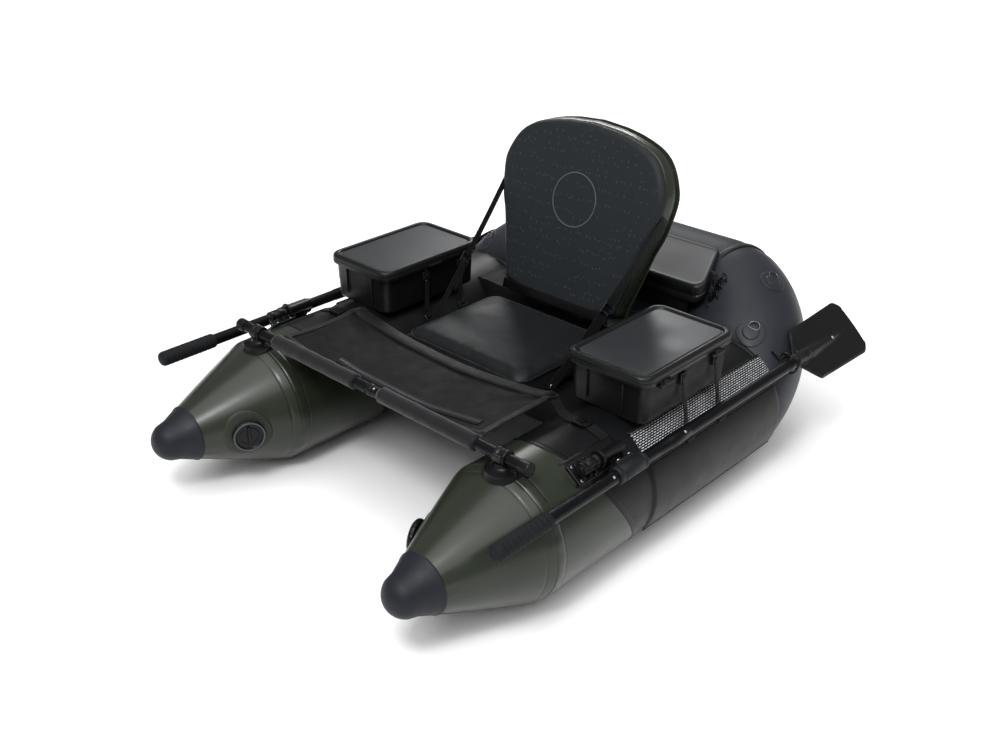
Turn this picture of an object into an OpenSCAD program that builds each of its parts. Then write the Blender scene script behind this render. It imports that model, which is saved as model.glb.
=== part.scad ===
// Inflatable fishing float boat: two conical pontoons joined by a raised stern tube,
// with a crossbar and apron in front, a seat with folding backrest, three lidded
// boxes and two oars in swivelling oarlocks.  Units are millimetres, +X is the
// right-hand pontoon, +Y is the stern, +Z is up, and z = 0 is the ground.

/* [Hull] */
// Overall length from bow cap to stern
hull_l = 1500; // [1250:10:1850]
// Distance of each pontoon's centreline from the middle plane
tube_x = 400; // [340:5:490]
// Radius of every air tube
tube_r = 155; // [128:1:188]
// Length of each bow, from the end of the cylinder to the tip
bow_l = 306; // [250:2:370]
// Length of the rubber cap on a bow
bow_cap_l = 90; // [70:1:110]
// Radius of the round tip of a bow cap
bow_tip_r = 47; // [38:1:57]
// How far the rubber cap stands proud of the cone
bow_cap_lip = 2; // [1:0.5:4]
// Height that the stern tube rises above the pontoons
stern_rise = 137; // [110:1:160]
// Plan radius of the stern's curved corner
stern_bend_r = 252; // [225:1:290]
// Turn of the curved corner before the mitred seam
stern_turn = 68; // [60:1:75]

/* [Pockets and decks] */
// Thickness of a side pocket
pocket_t = 3; // [2:0.5:6]
// Front end of the side pockets
pocket_y0 = -135; // [-145:1:-120]
// Thickness of the seat deck and the rear deck
deck_t = 9; // [6:1:12]
// Height of the top of the seat deck
seat_deck_z = 249; // [235:1:252]
// Height of the top of the rear deck
rear_deck_z = 296; // [290:1:300]

/* [Valves] */
// Radius of the flange under a bow valve
valve_flange_r = 34; // [30:1:40]
// Radius of a bow valve's neck
valve_neck_r = 24; // [20:1:28]
// Radius of a bow valve's cap
valve_cap_r = 40; // [34:1:46]
// Distance of each bow valve behind the tip of the bow
valve_back = 185; // [165:1:200]
// Radius of the rivets that hold the backrest straps
rivet_r = 7; // [5:0.5:9]

/* [Crossbar] */
// Outer radius of the crossbar tube
bar_r = 12.5; // [10:0.5:15]
// Wall of the crossbar tube
bar_wall = 1.9; // [1.5:0.1:2.5]
// Half of the crossbar's length
bar_half = 470; // [420:5:520]
// Height of the crossbar's axis above the tubes
bar_lift = 28; // [26:1:34]
// Radius of the foam sleeve
sleeve_r = 18; // [15:0.5:21]
// Length of each foam sleeve
sleeve_l = 292; // [240:4:330]
// Bare length of bar between the middle and a sleeve
sleeve_gap = 40; // [30:2:50]
// Length of the swaged end inside the other half
swage_l = 110; // [90:5:130]

/* [Apron] */
// Width of the apron
apron_w = 650; // [540:5:700]
// Sag of the apron in the middle
apron_sag = 34; // [10:1:40]
// Thickness of the apron
apron_t = 4; // [3:0.5:6]
// Distance from the crossbar's axis to the apron's rear hem
apron_d = 253; // [210:1:280]
// Length of the measuring tape
tape_l = 453; // [380:1:520]

/* [Seat] */
// Width of the seat cushion
seat_w = 400; // [334:2:440]
// Length of the seat cushion
seat_l = 332; // [280:2:380]
// Thickness of the seat cushion
seat_t = 79; // [66:1:90]
// Roundness of the seat cushion's edges
seat_edge = 34; // [20:1:36]

/* [Backrest] */
// Width of the backrest
back_w = 504; // [420:2:520]
// Height of the backrest along its slope
back_h = 465; // [390:5:540]
// Thickness of the backrest body
back_t = 60; // [50:1:72]
// Thickness of the foam pad
pad_t = 10; // [8:0.5:14]
// Lean of the backrest from upright
back_lean = 15; // [10:1:20]

/* [Side boxes] */
// Width of a side box over its lid
box_w = 223; // [186:1:236]
// Length of a side box over its lid
box_l = 339; // [282:1:350]
// Height of a side box from the tube's top to its lid
box_h = 114; // [95:1:137]
// Front end of the side box lids
box_y0 = -132; // [-140:1:-120]
// Depth of the lid's skirt
lid_skirt = 24; // [20:1:28]
// Overhang of the lid beyond the box wall
lid_over = 8; // [6:0.5:10]
// Wall thickness of every box
box_wall = 3; // [2:0.25:4]

/* [Rear box] */
// Width of the rear box lid at its front edge
rear_w = 600; // [500:5:620]
// Width of the rear box lid at its rear edge
rear_w2 = 480; // [400:5:500]
// Length of the rear box lid in plan
rear_l = 160; // [140:1:170]
// Height of the lid's front edge above the rear deck
rear_h = 104; // [90:1:116]
// Rise of the lid from front to rear
rear_rise = 45; // [35:1:50]

/* [Oars] */
// Radius of an oar shaft
shaft_r = 14; // [11.5:0.5:17]
// Length of an oar from grip to blade tip
oar_l = 1327; // [1150:1:1400]
// Length of the foam grip
grip_l = 149; // [120:1:180]
// Length of the blade
blade_l = 292; // [240:1:340]
// Width of the blade at its tip
blade_w = 152; // [126:1:160]
// Tilt of the stowed blade from flat
blade_tilt = 42; // [40:1:50]
// Radius of the oarlock's pin
lock_pin_r = 7.95; // [6.5:0.05:9]
// Clearance between a turning part and its bore
run_gap = 0.05; // [0.03:0.01:0.1]

/* [Fittings] */
// Width of the webbing straps
strap_w = 25; // [20:1:30]
// Thickness of the webbing straps
strap_t = 2; // [1.5:0.25:3]
// Inner radius of a lashing ring
ring_r = 11; // [9:0.5:13]
// Thickness of a lashing ring
ring_t = 4; // [3:0.5:5]
// Radius of the welded patch under a lashing ring
patch_r = 36; // [30:1:42]

/* [Hidden] */
$fn = 64;
soft_gap = 0.4;
y_bow = -hull_l / 2;
y_cone = y_bow + bow_l;
stern_dy = stern_bend_r * sin(stern_turn);
y_rear = hull_l / 2 - tube_r;
y_arc = y_rear - stern_dy;
bend_x = tube_x - stern_bend_r;
seam_x = bend_x + stern_bend_r * cos(stern_turn);
top_z = 2 * tube_r;
cone_slope = (tube_r - bow_tip_r) / (bow_l - bow_tip_r);
cap_y = y_bow + bow_cap_l;
cap_base_r = bow_tip_r + cone_slope * (bow_cap_l - bow_tip_r);
cone_angle = atan(cone_slope);
valve_y = y_bow + valve_back;
valve_cone_r = bow_tip_r + cone_slope * (valve_back - bow_tip_r);
valve_patch_t = 3;
valve_neck_h = 14;
valve_bore_r = valve_neck_r - 5;
valve_cap_t = 12;
valve_cap_z = valve_patch_t + 1;
bar_y = y_cone + 6;
bar_z = top_z + bar_lift;
bar_in_r = bar_r - bar_wall;
swage_r = bar_in_r - run_gap;
ring_half = 15;
saddle_ring_r = bar_r + 5.5;
saddle_base_r = 40;
latch_x = tube_x + 37;
latch_z = bar_z - bar_r - 6.5;
latch_pin_r = 2.5;
apron_y0 = bar_y + sleeve_r + soft_gap;
apron_y1 = bar_y + apron_d;
apron_z = bar_z + 8;
apron_steps = 20;
tape_y0 = bar_y + 39;
tape_w = 26;
tape_t = 1;
hem_d = 22;
seat_y0 = -165;
seat_y1 = seat_y0 + seat_l;
seat_top = seat_deck_z + seat_t;
back_y = seat_y1 + 3;
back_z = seat_top + 5;
back_rows = [[0, 0.33], [0.05, 0.69], [0.094, 0.722], [0.226, 0.794], [0.409, 0.881], [0.516, 0.952],
             [0.667, 1.0], [0.753, 0.984], [0.86, 0.881], [0.925, 0.734], [0.968, 0.496], [0.992, 0.25]];
welt_r = 3.5;
pad_in_side = 5;
pad_in_top = 16;
badge_r = 66;
badge_v = 0.585 * back_h;
strap_top_y = back_y + 0.6 * back_h * sin(back_lean) + 30;
strap_top_z = back_z + 0.6 * back_h * cos(back_lean) - 8;
strap_top = [back_w / 2 + 3 + strap_t, strap_top_y, strap_top_z];
strap_low = [seat_w / 2 + 6 + strap_t, seat_y0 + 80 + strap_w / 2, seat_top - 62];
box_x0 = tube_x - box_w / 2;
box_x1 = tube_x + box_w / 2;
box_y1 = box_y0 + box_l;
box_sink = 4;
box_top = top_z + box_h;
skirt_z = box_top - lid_skirt;
lid_t = 3;
hinge_r = 4;
hinge_pin_r = 1.6;
hinge_x = box_x1 + hinge_r + 0.6;
hinge_z = skirt_z - 2;
hinge_at = [0.2, 0.76];
knuckle = 16;
rear_y1 = y_rear - 50;
rear_y0 = rear_y1 - rear_l;
rear_z0 = rear_deck_z + rear_h;
rear_slope = atan(rear_rise / rear_l);
rear_rim = 45;
rear_floor = rear_deck_z + 14;
rear_clear = 3;
rear_in = 8;
tongue_w = tube_x - 130;
rear_hinge_r = 2.8;
rear_pin_r = 1.2;
rear_eye = [150, 158];
oar_x = tube_x + 150;
oar_z = tube_r + 124;
oar_y0 = -621;
oar_y1 = oar_y0 + oar_l;
blade_y = oar_y1 - blade_l;
grip_r = shaft_r + 4;
blade_t = 6;
socket_l = 46;
oar_rad = norm([oar_x - tube_x, oar_z - tube_r]);
oar_ang = atan2(oar_z - tube_r, oar_x - tube_x);
lock_y = -226;
collar_l = 90;
collar_r = shaft_r + 5;
boss_r = 12;
boss_in = oar_rad - collar_r - 3;
stud_r = 6;
stud_top = oar_rad - shaft_r - 1;
barrel_ang = 54;
barrel_rad = tube_r + 31;
barrel_x = tube_x + barrel_rad * cos(barrel_ang);
barrel_z = tube_r + barrel_rad * sin(barrel_ang);
barrel_r = lock_pin_r + 6;
barrel_y0 = -331;
barrel_l = 50;
lock_bore_r = lock_pin_r + run_gap;
pad_lo = 47.5;
pad_hi = 66;
lock_pad_t = 3;
disc_r = 20;
disc_t = 6;
block_r = 13;
sides = 28;
arc_steps = 14;
rise_turn = 30;
patch_gap = 0.6;
ring_lift = 3.6;
d_spots = [[11.5, 75], [48, 69]];
hook_y = [box_y0 + 0.42 * box_l, box_y0 + 0.78 * box_l];

// ---------- helpers ----------

// Mirrors its children to the left-hand side when s is -1
module sided(s) {
    if (s < 0) mirror([1, 0, 0]) children();
    else children();
}

// A rod along +Y from y0 to y1
module rod_y(x, z, y0, y1, r) {
    translate([x, y0, z]) rotate([-90, 0, 0]) cylinder(h = y1 - y0, r = r);
}

// A rod along +X from x0 to x1
module rod_x(y, z, x0, x1, r) {
    translate([x0, y, z]) rotate([0, 90, 0]) cylinder(h = x1 - x0, r = r);
}

// The straight part of the right-hand pontoon, grown by g
module tube_body(g = 0) {
    rod_y(tube_x, tube_r, y_cone, y_arc, tube_r + g);
}

// The cone of the right-hand bow, grown by g
module cone_body(g = 0) {
    translate([tube_x, cap_y, tube_r]) rotate([-90, 0, 0])
        cylinder(h = y_cone - cap_y, r1 = cap_base_r + g, r2 = tube_r + g);
}

// A skin on the right-hand pontoon between two angles from the outward side
module tube_skin(a0, a1, y0, y1, r0, r1) {
    translate([tube_x, y0, tube_r]) rotate([90, 0, 0]) mirror([0, 0, 1])
        rotate([0, 0, a0]) rotate_extrude(angle = a1 - a0, $fn = 128)
            translate([r0, 0]) square([r1 - r0, y1 - y0]);
}

// A rectangle with round corners, built from plain circles and squares
module round_rect(x0, y0, x1, y1, r) {
    translate([x0 + r, y0]) square([x1 - x0 - 2 * r, y1 - y0]);
    translate([x0, y0 + r]) square([x1 - x0, y1 - y0 - 2 * r]);
    for (x = [x0 + r, x1 - r])
        for (y = [y0 + r, y1 - r])
            translate([x, y]) circle(r);
}

// A plate with round corners from z0 to z1
module round_block(x0, y0, x1, y1, z0, z1, r) {
    translate([0, 0, z0]) linear_extrude(z1 - z0) round_rect(x0, y0, x1, y1, r);
}

// Places its children on the right-hand pontoon: local x points out of the tube
// and local z runs towards the stern
module at_tube(angle, y) {
    translate([tube_x, y, tube_r]) rotate([0, -angle, 0]) children();
}

// ---------- stern tube ----------

// Centreline of the stern corner at turn a, right-hand side
function corner(a) = [bend_x + stern_bend_r * cos(a), y_arc + stern_bend_r * sin(a),
                      tube_r + stern_rise * sin(a) / sin(stern_turn)];
function unit(v) = v / norm(v);
function corner_dir(a) = unit([-sin(a), cos(a), min(1, a / rise_turn) * cos(a) * stern_rise / stern_dy]);
function corner_turns() = [for (i = [0:arc_steps]) stern_turn * i / arc_steps];
// Rings of the whole stern: a point, and the direction its ring faces
function stern_rings() = concat(
    [[corner(0), [0, 1, 0]]],
    [for (i = [1:arc_steps - 1]) [corner(corner_turns()[i]), corner_dir(corner_turns()[i])]],
    [[corner(stern_turn), unit(corner_dir(stern_turn) + [-1, 0, 0])]],
    [for (k = [1:7]) [[seam_x * (1 - k / 4), y_rear, tube_r + stern_rise], [-1, 0, 0]]],
    [[flip(corner(stern_turn)), unit([-1, 0, 0] + back_dir(stern_turn))]],
    [for (i = [arc_steps - 1:-1:1]) [flip(corner(corner_turns()[i])), back_dir(corner_turns()[i])]],
    [[flip(corner(0)), [0, -1, 0]]]);
function flip(p) = [-p[0], p[1], p[2]];
function back_dir(a) = -flip(corner_dir(a));
function ring_points(c, d, r) =
    let (u = unit(cross(d, [0, 0, 1])), w = cross(u, d))
    [for (j = [0:sides - 1]) let (t = 360 * j / sides) c + r * (cos(t) * u + sin(t) * w)];

module stern_sweep(r) {
    rings = stern_rings();
    n = len(rings);
    points = [for (k = [0:n - 1]) each ring_points(rings[k][0], rings[k][1], r)];
    walls = [for (k = [0:n - 2]) for (j = [0:sides - 1]) let (m = (j + 1) % sides)
        each [[k * sides + j, (k + 1) * sides + m, k * sides + m],
              [k * sides + j, (k + 1) * sides + j, (k + 1) * sides + m]]];
    first = [for (j = [0:sides - 1]) j];
    last = [for (j = [sides - 1:-1:0]) (n - 1) * sides + j];
    polyhedron(points, concat(walls, [first], [last]), convexity = 8);
}

// A point h above the stern corner's skin, at turn a and up degrees above its outward side
function stern_at(a, up, h) =
    let (d = corner_dir(a), u = unit(cross(d, [0, 0, 1])), w = cross(u, d))
    corner(a) + (tube_r + h) * (cos(up) * u + sin(up) * w);
// Length of skin per degree of turn and per degree round the tube
function along(a, up) = norm(stern_at(a + 0.5, up, 0) - stern_at(a - 0.5, up, 0));
function around(up) = tube_r * 3.14159265 / 180;
function skin_at(s, p, q, h) = stern_at(s[0] + p / along(s[0], s[1]), s[1] + q / around(s[1]), h);
function skin_normal(s) = unit(cross(skin_at(s, 2, 0, 0) - skin_at(s, -2, 0, 0),
                                     skin_at(s, 0, 2, 0) - skin_at(s, 0, -2, 0)));

// Places its children on the stern's skin at a spot: local z points out of the tube
module at_stern(s) {
    n = skin_normal(s) * sign(skin_normal(s)[2]);
    d = unit(skin_at(s, 2, 0, 0) - skin_at(s, -2, 0, 0));
    e = cross(n, d);
    q = stern_at(s[0], s[1], 0);
    multmatrix([[d[0], e[0], n[0], q[0]], [d[1], e[1], n[1], q[1]],
                [d[2], e[2], n[2], q[2]], [0, 0, 0, 1]]) children();
}

// ---------- hull ----------

module bow_cone(s) {
    color("#48503f") sided(s) cone_body();
}

module bow_cap(s) {
    tip = bow_tip_r;
    color("#232530") sided(s) translate([tube_x, y_bow, tube_r]) rotate([-90, 0, 0])
        rotate_extrude()
            polygon(concat([[0, bow_cap_l]], [[cap_base_r + bow_cap_lip, bow_cap_l]],
                [for (t = [cone_angle:(90 - cone_angle) / 12:89.99])
                    [tip * cos(t), tip - tip * sin(t)]], [[0, 0]]));
}

module side_tube(s) {
    color("#1e1f20") sided(s) tube_body();
}

module stern_tube() {
    color("#3a3c42") stern_sweep(tube_r);
}

module side_pocket(s) {
    color("#2a2b2c") sided(s)
        tube_skin(-30, 61, pocket_y0, y_arc - 1, tube_r, tube_r + pocket_t);
}

// A panel hung between the pontoons, cut to their shape
module deck_panel(y0, y1, z, half) {
    difference() {
        translate([-half, y0, z - deck_t]) cube([2 * half, y1 - y0, deck_t]);
        for (s = [-1, 1]) sided(s) tube_body();
    }
}

module seat_deck() {
    color("#17181a") deck_panel(seat_y0 + 2, seat_y1 + 40, seat_deck_z, tube_x - 60);
}

module rear_deck() {
    color("#17181a") {
        deck_panel(seat_y1 + 72, y_arc - 0.5, rear_deck_z, tube_x - 60);
        // Tongue that carries the rear box's feet
        translate([0, 0, rear_deck_z - deck_t]) linear_extrude(deck_t)
            polygon([[-tongue_w, y_arc - 2], [tongue_w, y_arc - 2], [tongue_w, y_arc + 19],
                     [seam_x - 45, y_rear - tube_r - 8], [45 - seam_x, y_rear - tube_r - 8],
                     [-tongue_w, y_arc + 19]]);
    }
}

// Axis frame of the right-hand bow valve: local z points out of the cone's inner side
module at_valve() {
    translate([tube_x - valve_cone_r, valve_y, tube_r]) rotate([0, -90, 0])
        rotate([cone_angle, 0, 0]) children();
}

module bow_valve(s) {
    color("#202124") sided(s) difference() {
        union() {
            difference() {
                at_valve() translate([0, 0, -14])
                    cylinder(h = 14 + valve_patch_t, r = valve_flange_r);
                cone_body();
            }
            at_valve() translate([0, 0, 1]) cylinder(h = valve_neck_h - 1, r = valve_neck_r);
        }
        at_valve() translate([0, 0, valve_patch_t - 1])
            cylinder(h = valve_neck_h, r = valve_bore_r);
    }
}

module bow_valve_cap(s) {
    rim = valve_neck_h - valve_cap_z + 0.5;
    color("#0e0e10") sided(s) at_valve() translate([0, 0, valve_cap_z]) difference() {
        union() {
            cylinder(h = valve_cap_t, r = valve_cap_r);
            translate([-valve_cap_r * 0.7, -4, valve_cap_t]) cube([valve_cap_r * 1.4, 8, 5]);
        }
        translate([0, 0, -1]) cylinder(h = rim + 1, r = valve_neck_r + run_gap);
    }
}

// ---------- crossbar ----------

module bar_saddle(s) {
    color("#151618") sided(s) {
        difference() {
            union() {
                translate([tube_x, bar_y, top_z - 22])
                    cylinder(h = bar_lift - bar_r + 20, r = saddle_base_r);
                rod_x(bar_y, bar_z, tube_x - ring_half, tube_x + ring_half, saddle_ring_r);
                translate([tube_x - ring_half, bar_y - saddle_ring_r + 4, top_z])
                    cube([2 * ring_half, 2 * saddle_ring_r - 8, bar_lift - bar_r + 4]);
            }
            rod_x(bar_y, bar_z, tube_x - 60, tube_x + 60, bar_r + run_gap);
            translate([tube_x - 60, bar_y - 60, bar_z - bar_r - 11])
                difference() {
                    cube([120, 120, 14]);
                    translate([60 - ring_half, 40, -1]) cube([2 * ring_half, 40, 20]);
                }
            tube_body();
            cone_body();
        }
        if (s > 0) {
            for (y = [-9, 5])
                difference() {
                    translate([latch_x - 7, bar_y + y, top_z - 6])
                        cube([11, 4, latch_z - top_z + 10]);
                    tube_body();
                    cone_body();
                }
            rod_y(latch_x, latch_z, bar_y - 9, bar_y + 9, latch_pin_r);
        }
    }
}

module crossbar_right() {
    color("#202225") difference() {
        rod_x(bar_y, bar_z, 0.3, bar_half, bar_r);
        rod_x(bar_y, bar_z, -1, bar_half + 1, bar_in_r);
    }
}

module crossbar_left() {
    color("#202225") {
        difference() {
            rod_x(bar_y, bar_z, -bar_half, -0.3, bar_r);
            rod_x(bar_y, bar_z, -bar_half - 1, -20, bar_in_r);
        }
        rod_x(bar_y, bar_z, -10, swage_l, swage_r);
    }
}

module bar_cap(s) {
    color("#0f1012") sided(s) difference() {
        rod_x(bar_y, bar_z, bar_half - 22, bar_half + 4, bar_r + 2.5);
        rod_x(bar_y, bar_z, bar_half - 23, bar_half, bar_r);
    }
}

module bar_sleeve(s) {
    color("#1b1c1f") sided(s) difference() {
        rod_x(bar_y, bar_z, sleeve_gap, sleeve_gap + sleeve_l, sleeve_r);
        rod_x(bar_y, bar_z, sleeve_gap - 1, sleeve_gap + sleeve_l + 1, bar_r);
    }
}

module bar_latch() {
    color("#0c0c0e") difference() {
        union() {
            rod_y(latch_x, latch_z, bar_y - 4.6, bar_y + 4.6, latch_pin_r + 2);
            translate([latch_x, bar_y - 4.6, latch_z - 2.5]) cube([30, 9.2, 4.5]);
        }
        rod_y(latch_x, latch_z, bar_y - 6, bar_y + 6, latch_pin_r + run_gap);
    }
}

// ---------- apron ----------

function apron_at(x) = apron_z - apron_sag * (1 - pow(2 * x / apron_w, 2));

// A sheet that follows the apron's sag, lifted by lift
module sag_sheet(x0, x1, y0, y1, t, lift) {
    xs = [for (i = [0:apron_steps]) x0 + (x1 - x0) * i / apron_steps];
    translate([0, y1, 0]) rotate([90, 0, 0]) linear_extrude(y1 - y0)
        polygon(concat([for (x = xs) [x, apron_at(x) + lift]],
                       [for (i = [apron_steps:-1:0]) [xs[i], apron_at(xs[i]) + lift + t]]));
}

module apron() {
    color("#141519") {
        sag_sheet(-apron_w / 2, apron_w / 2, apron_y0, apron_y1 - hem_d, apron_t, 0);
        sag_sheet(-apron_w / 2, apron_w / 2, apron_y1 - hem_d, apron_y1, apron_t + 6, -4);
    }
}

module measuring_tape() {
    color("#c9c9c4") sag_sheet(54 - tape_l / 2, 54 + tape_l / 2, tape_y0, tape_y0 + tape_w,
                               tape_t, apron_t + 0.15);
}

module apron_straps() {
    color("#101113") for (s = [-1, 1]) sided(s) {
        tube_skin(pad_hi + 1.5, 101, apron_y1 - hem_d - 4, apron_y1 - hem_d - 4 + strap_w,
                  tube_r, tube_r + strap_t);
        translate([0, apron_y1 - hem_d - 4 + strap_w, 0]) rotate([90, 0, 0])
            linear_extrude(strap_w)
                polygon([[apron_w / 2, apron_z - 2], [apron_w / 2 + 8, apron_z - 2],
                         [tube_x - 20, top_z + 2.5], [tube_x - 20, top_z + 4.5],
                         [apron_w / 2 + 9, apron_z + 1], [apron_w / 2, apron_z + 1]]);
    }
}

module webbing_buckles() {
    color("#0b0b0c") for (s = [-1, 1]) sided(s)
        translate([tube_x - 14, apron_y1 - hem_d - 7, top_z + 2.2]) difference() {
            cube([40, strap_w + 6, 8]);
            translate([14, 5, -1]) cube([4, strap_w - 4, 10]);
        }
}

// ---------- seat ----------

module seat_cushion() {
    e = seat_edge;
    color("#2c2e31") {
        round_block(-seat_w / 2, seat_y0, seat_w / 2, seat_y1, seat_deck_z, seat_top - e, e);
        round_block(-seat_w / 2 + e, seat_y0 + e, seat_w / 2 - e, seat_y1 - e,
                    seat_deck_z, seat_top, 6);
        for (x = [-seat_w / 2 + e, seat_w / 2 - e])
            rod_y(x, seat_top - e, seat_y0 + e, seat_y1 - e, e);
        for (y = [seat_y0 + e, seat_y1 - e])
            rod_x(y, seat_top - e, -seat_w / 2 + e, seat_w / 2 - e, e);
        for (x = [-seat_w / 2 + e, seat_w / 2 - e])
            for (y = [seat_y0 + e, seat_y1 - e])
                translate([x, y, seat_top - e]) sphere(e);
    }
}

// ---------- backrest ----------

// Half-width of the backrest at each row, on a smooth curve through the rows
function mix(a, b, t) = a + (b - a) * t;
function row_at(i) = back_rows[max(0, min(len(back_rows) - 1, i))];
function smooth_row(i, t) =
    let (p = row_at(i - 1), q = row_at(i), r = row_at(i + 1), s = row_at(i + 2))
    0.5 * (2 * q + (r - p) * t + (2 * p - 5 * q + 4 * r - s) * t * t
           + (3 * q - p - 3 * r + s) * t * t * t);
function back_outline() = [for (i = [0:len(back_rows) - 2]) for (k = [0:3]) smooth_row(i, k / 4)];
function outline_points(w, h, v0) = concat(
    [for (p = back_outline()) [p[1] * w, v0 + p[0] * h]],
    [[0, v0 + h]],
    [for (i = [len(back_outline()) - 1:-1:0])
        [-back_outline()[i][1] * w, v0 + back_outline()[i][0] * h]]);

// Local frame of the backrest: x across, y up its slope, z forwards
module at_back() {
    translate([0, back_y, back_z]) rotate([90 - back_lean, 0, 0]) children();
}

module backrest_body() {
    half = 0.15 * back_w;
    color("#484f42") at_back() {
        translate([0, 0, -pad_t - back_t]) linear_extrude(back_t)
            polygon(outline_points(back_w / 2, back_h, 0));
        // Round welt that the backrest folds about, on its web
        translate([-half, 0, 0]) rotate([0, 90, 0]) cylinder(h = 2 * half, r = welt_r);
        translate([-half + 1, 0.5, -pad_t - 1]) cube([2 * half - 2, 2.5, pad_t + 1]);
    }
}

module backrest_pad() {
    color("#2e3134") at_back() translate([0, 0, -pad_t]) linear_extrude(pad_t)
        polygon(outline_points(back_w / 2 - pad_in_side, back_h - pad_in_top - 4, 4));
}

module backrest_badge() {
    color("#6b7075") at_back() translate([0, badge_v, 0]) {
        cylinder(h = 1, r = badge_r - 2);
        difference() {
            cylinder(h = 1.6, r = badge_r);
            translate([0, 0, -1]) cylinder(h = 4, r = badge_r - 4);
        }
    }
}

module backrest_strap(s) {
    color("#111214") sided(s) hull() {
        translate(strap_top - [strap_t, strap_w / 2, 0]) cube([strap_t, strap_w, 3]);
        translate(strap_low - [strap_t, strap_w / 2, 0]) cube([strap_t, strap_w, 3]);
    }
}

// Ladder locks that shorten the backrest straps
module strap_adjusters() {
    d = unit(strap_low - strap_top);
    n = unit([1, 0, 0] - d * d[0]);
    w = cross(d, n);
    p = (strap_low + strap_top) / 2 + 2 * n;
    color("#0c0c0d") for (s = [-1, 1]) sided(s)
        multmatrix([[w[0], d[0], n[0], p[0]], [w[1], d[1], n[1], p[1]],
                    [w[2], d[2], n[2], p[2]], [0, 0, 0, 1]])
            difference() {
                translate([-strap_w / 2 - 4.5, -15, 0]) cube([strap_w + 9, 30, 4]);
                for (y = [-11, 4])
                    translate([-strap_w / 2 - 0.5, y, -1]) cube([strap_w + 1, 7, 6]);
            }
}

module strap_rivets() {
    color("#8b8d90") for (s = [-1, 1]) sided(s)
        rod_x(strap_low[1] + 11, strap_low[2] + 10, strap_low[0] + 3, strap_low[0] + 6, rivet_r);
}

// ---------- side boxes ----------

module side_box(s) {
    o = lid_over;
    w = box_wall;
    z0 = top_z - box_sink;
    z1 = box_top - lid_t - 0.5;
    color("#17181a") sided(s) {
        difference() {
            round_block(box_x0 + o, box_y0 + o, box_x1 - o, box_y1 - o, z0, z1, 12);
            round_block(box_x0 + o + w, box_y0 + o + w, box_x1 - o - w, box_y1 - o - w,
                        top_z + w, z1 + 1, 9);
            tube_body();
        }
        for (f = hinge_at)
            let (y = box_y0 + f * box_l)
            for (k = [-1, 1]) {
                rod_y(hinge_x, hinge_z, y + k * knuckle - knuckle / 2 + 0.2,
                      y + k * knuckle + knuckle / 2 - 0.2, hinge_r);
                translate([box_x1 - o - 1, y + k * knuckle - knuckle / 2 + 0.2, hinge_z - hinge_r])
                    cube([hinge_x - box_x1 + o + 1, knuckle - 0.4, hinge_r - 0.4]);
            }
        for (f = hinge_at)
            rod_y(hinge_x, hinge_z, box_y0 + f * box_l - knuckle, box_y0 + f * box_l + knuckle,
                  hinge_pin_r);
    }
}

module side_box_lid(s) {
    gap = soft_gap;
    o = lid_over - gap;
    color("#5b5e60") sided(s) difference() {
        union() {
            difference() {
                round_block(box_x0, box_y0, box_x1, box_y1, skirt_z, box_top, 18);
                round_block(box_x0 + o, box_y0 + o, box_x1 - o, box_y1 - o,
                            skirt_z - 1, box_top - lid_t, 12);
                round_block(box_x0 + 22, box_y0 + 22, box_x1 - 22, box_y1 - 22,
                            box_top - 1, box_top + 1, 12);
            }
            for (f = hinge_at)
                translate([0, box_y0 + f * box_l, 0]) {
                    rod_y(hinge_x, hinge_z, -knuckle / 2 + 0.2, knuckle / 2 - 0.2, hinge_r);
                    translate([box_x1 - 3, -knuckle / 2 + 0.2, hinge_z + 0.5])
                        cube([hinge_x - box_x1 + 3, knuckle - 0.4, hinge_r - 0.5]);
                    translate([box_x1 - 3, -knuckle / 2 + 0.2, skirt_z])
                        cube([3.4, knuckle - 0.4, 6]);
                }
            translate([box_x0 - 5, (box_y0 + box_y1) / 2 - 22, skirt_z + 3]) cube([6, 44, 5]);
        }
        for (f = hinge_at) {
            rod_y(hinge_x, hinge_z, box_y0 + f * box_l - knuckle, box_y0 + f * box_l + knuckle,
                  hinge_pin_r + run_gap);
            for (k = [-1, 1])
                rod_y(hinge_x, hinge_z, box_y0 + f * box_l + k * knuckle - knuckle / 2 - 0.2,
                      box_y0 + f * box_l + k * knuckle + knuckle / 2 + 0.2, hinge_r + 0.4);
        }
    }
}

// ---------- rear box ----------

// Half-width of the rear box in plan at y, before the inset
function rear_half(y) = mix(rear_w / 2, rear_w2 / 2, (y - rear_y0) / rear_l);
function rear_top(y) = rear_z0 + rear_rise * (y - rear_y0) / rear_l;
// Height that clears the rear tube at y
function over_tube(y) = tube_r + stern_rise
    + sqrt(max(0, pow(tube_r + rear_clear, 2) - pow(y_rear - y, 2)));

module rear_plan(inset, y0, y1, z0, z1) {
    translate([0, 0, z0]) linear_extrude(z1 - z0)
        polygon([[-rear_half(y0) + inset, y0], [rear_half(y0) - inset, y0],
                 [rear_half(y1) - inset, y1], [-rear_half(y1) + inset, y1]]);
}

// A block along X with the given outline in the YZ plane
module side_profile(points) {
    translate([-rear_w, 0, 0]) rotate([90, 0, 90]) linear_extrude(2 * rear_w) polygon(points);
}

// Plan of the box body, narrowed where the stern's corners curve in; g is the inset
module body_plan(g, y0, ya, y1) {
    w0 = min(tube_x - 146, rear_half(y0) - 12) - g;
    w1 = min(seam_x - 37, rear_half(ya) - 20) - g;
    translate([0, 0, rear_deck_z]) linear_extrude(rear_h + rear_rise + 20)
        polygon([[-w0, y0], [w0, y0], [w1, ya], [w1 - 8, y1], [8 - w1, y1], [-w1, ya]]);
}

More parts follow.
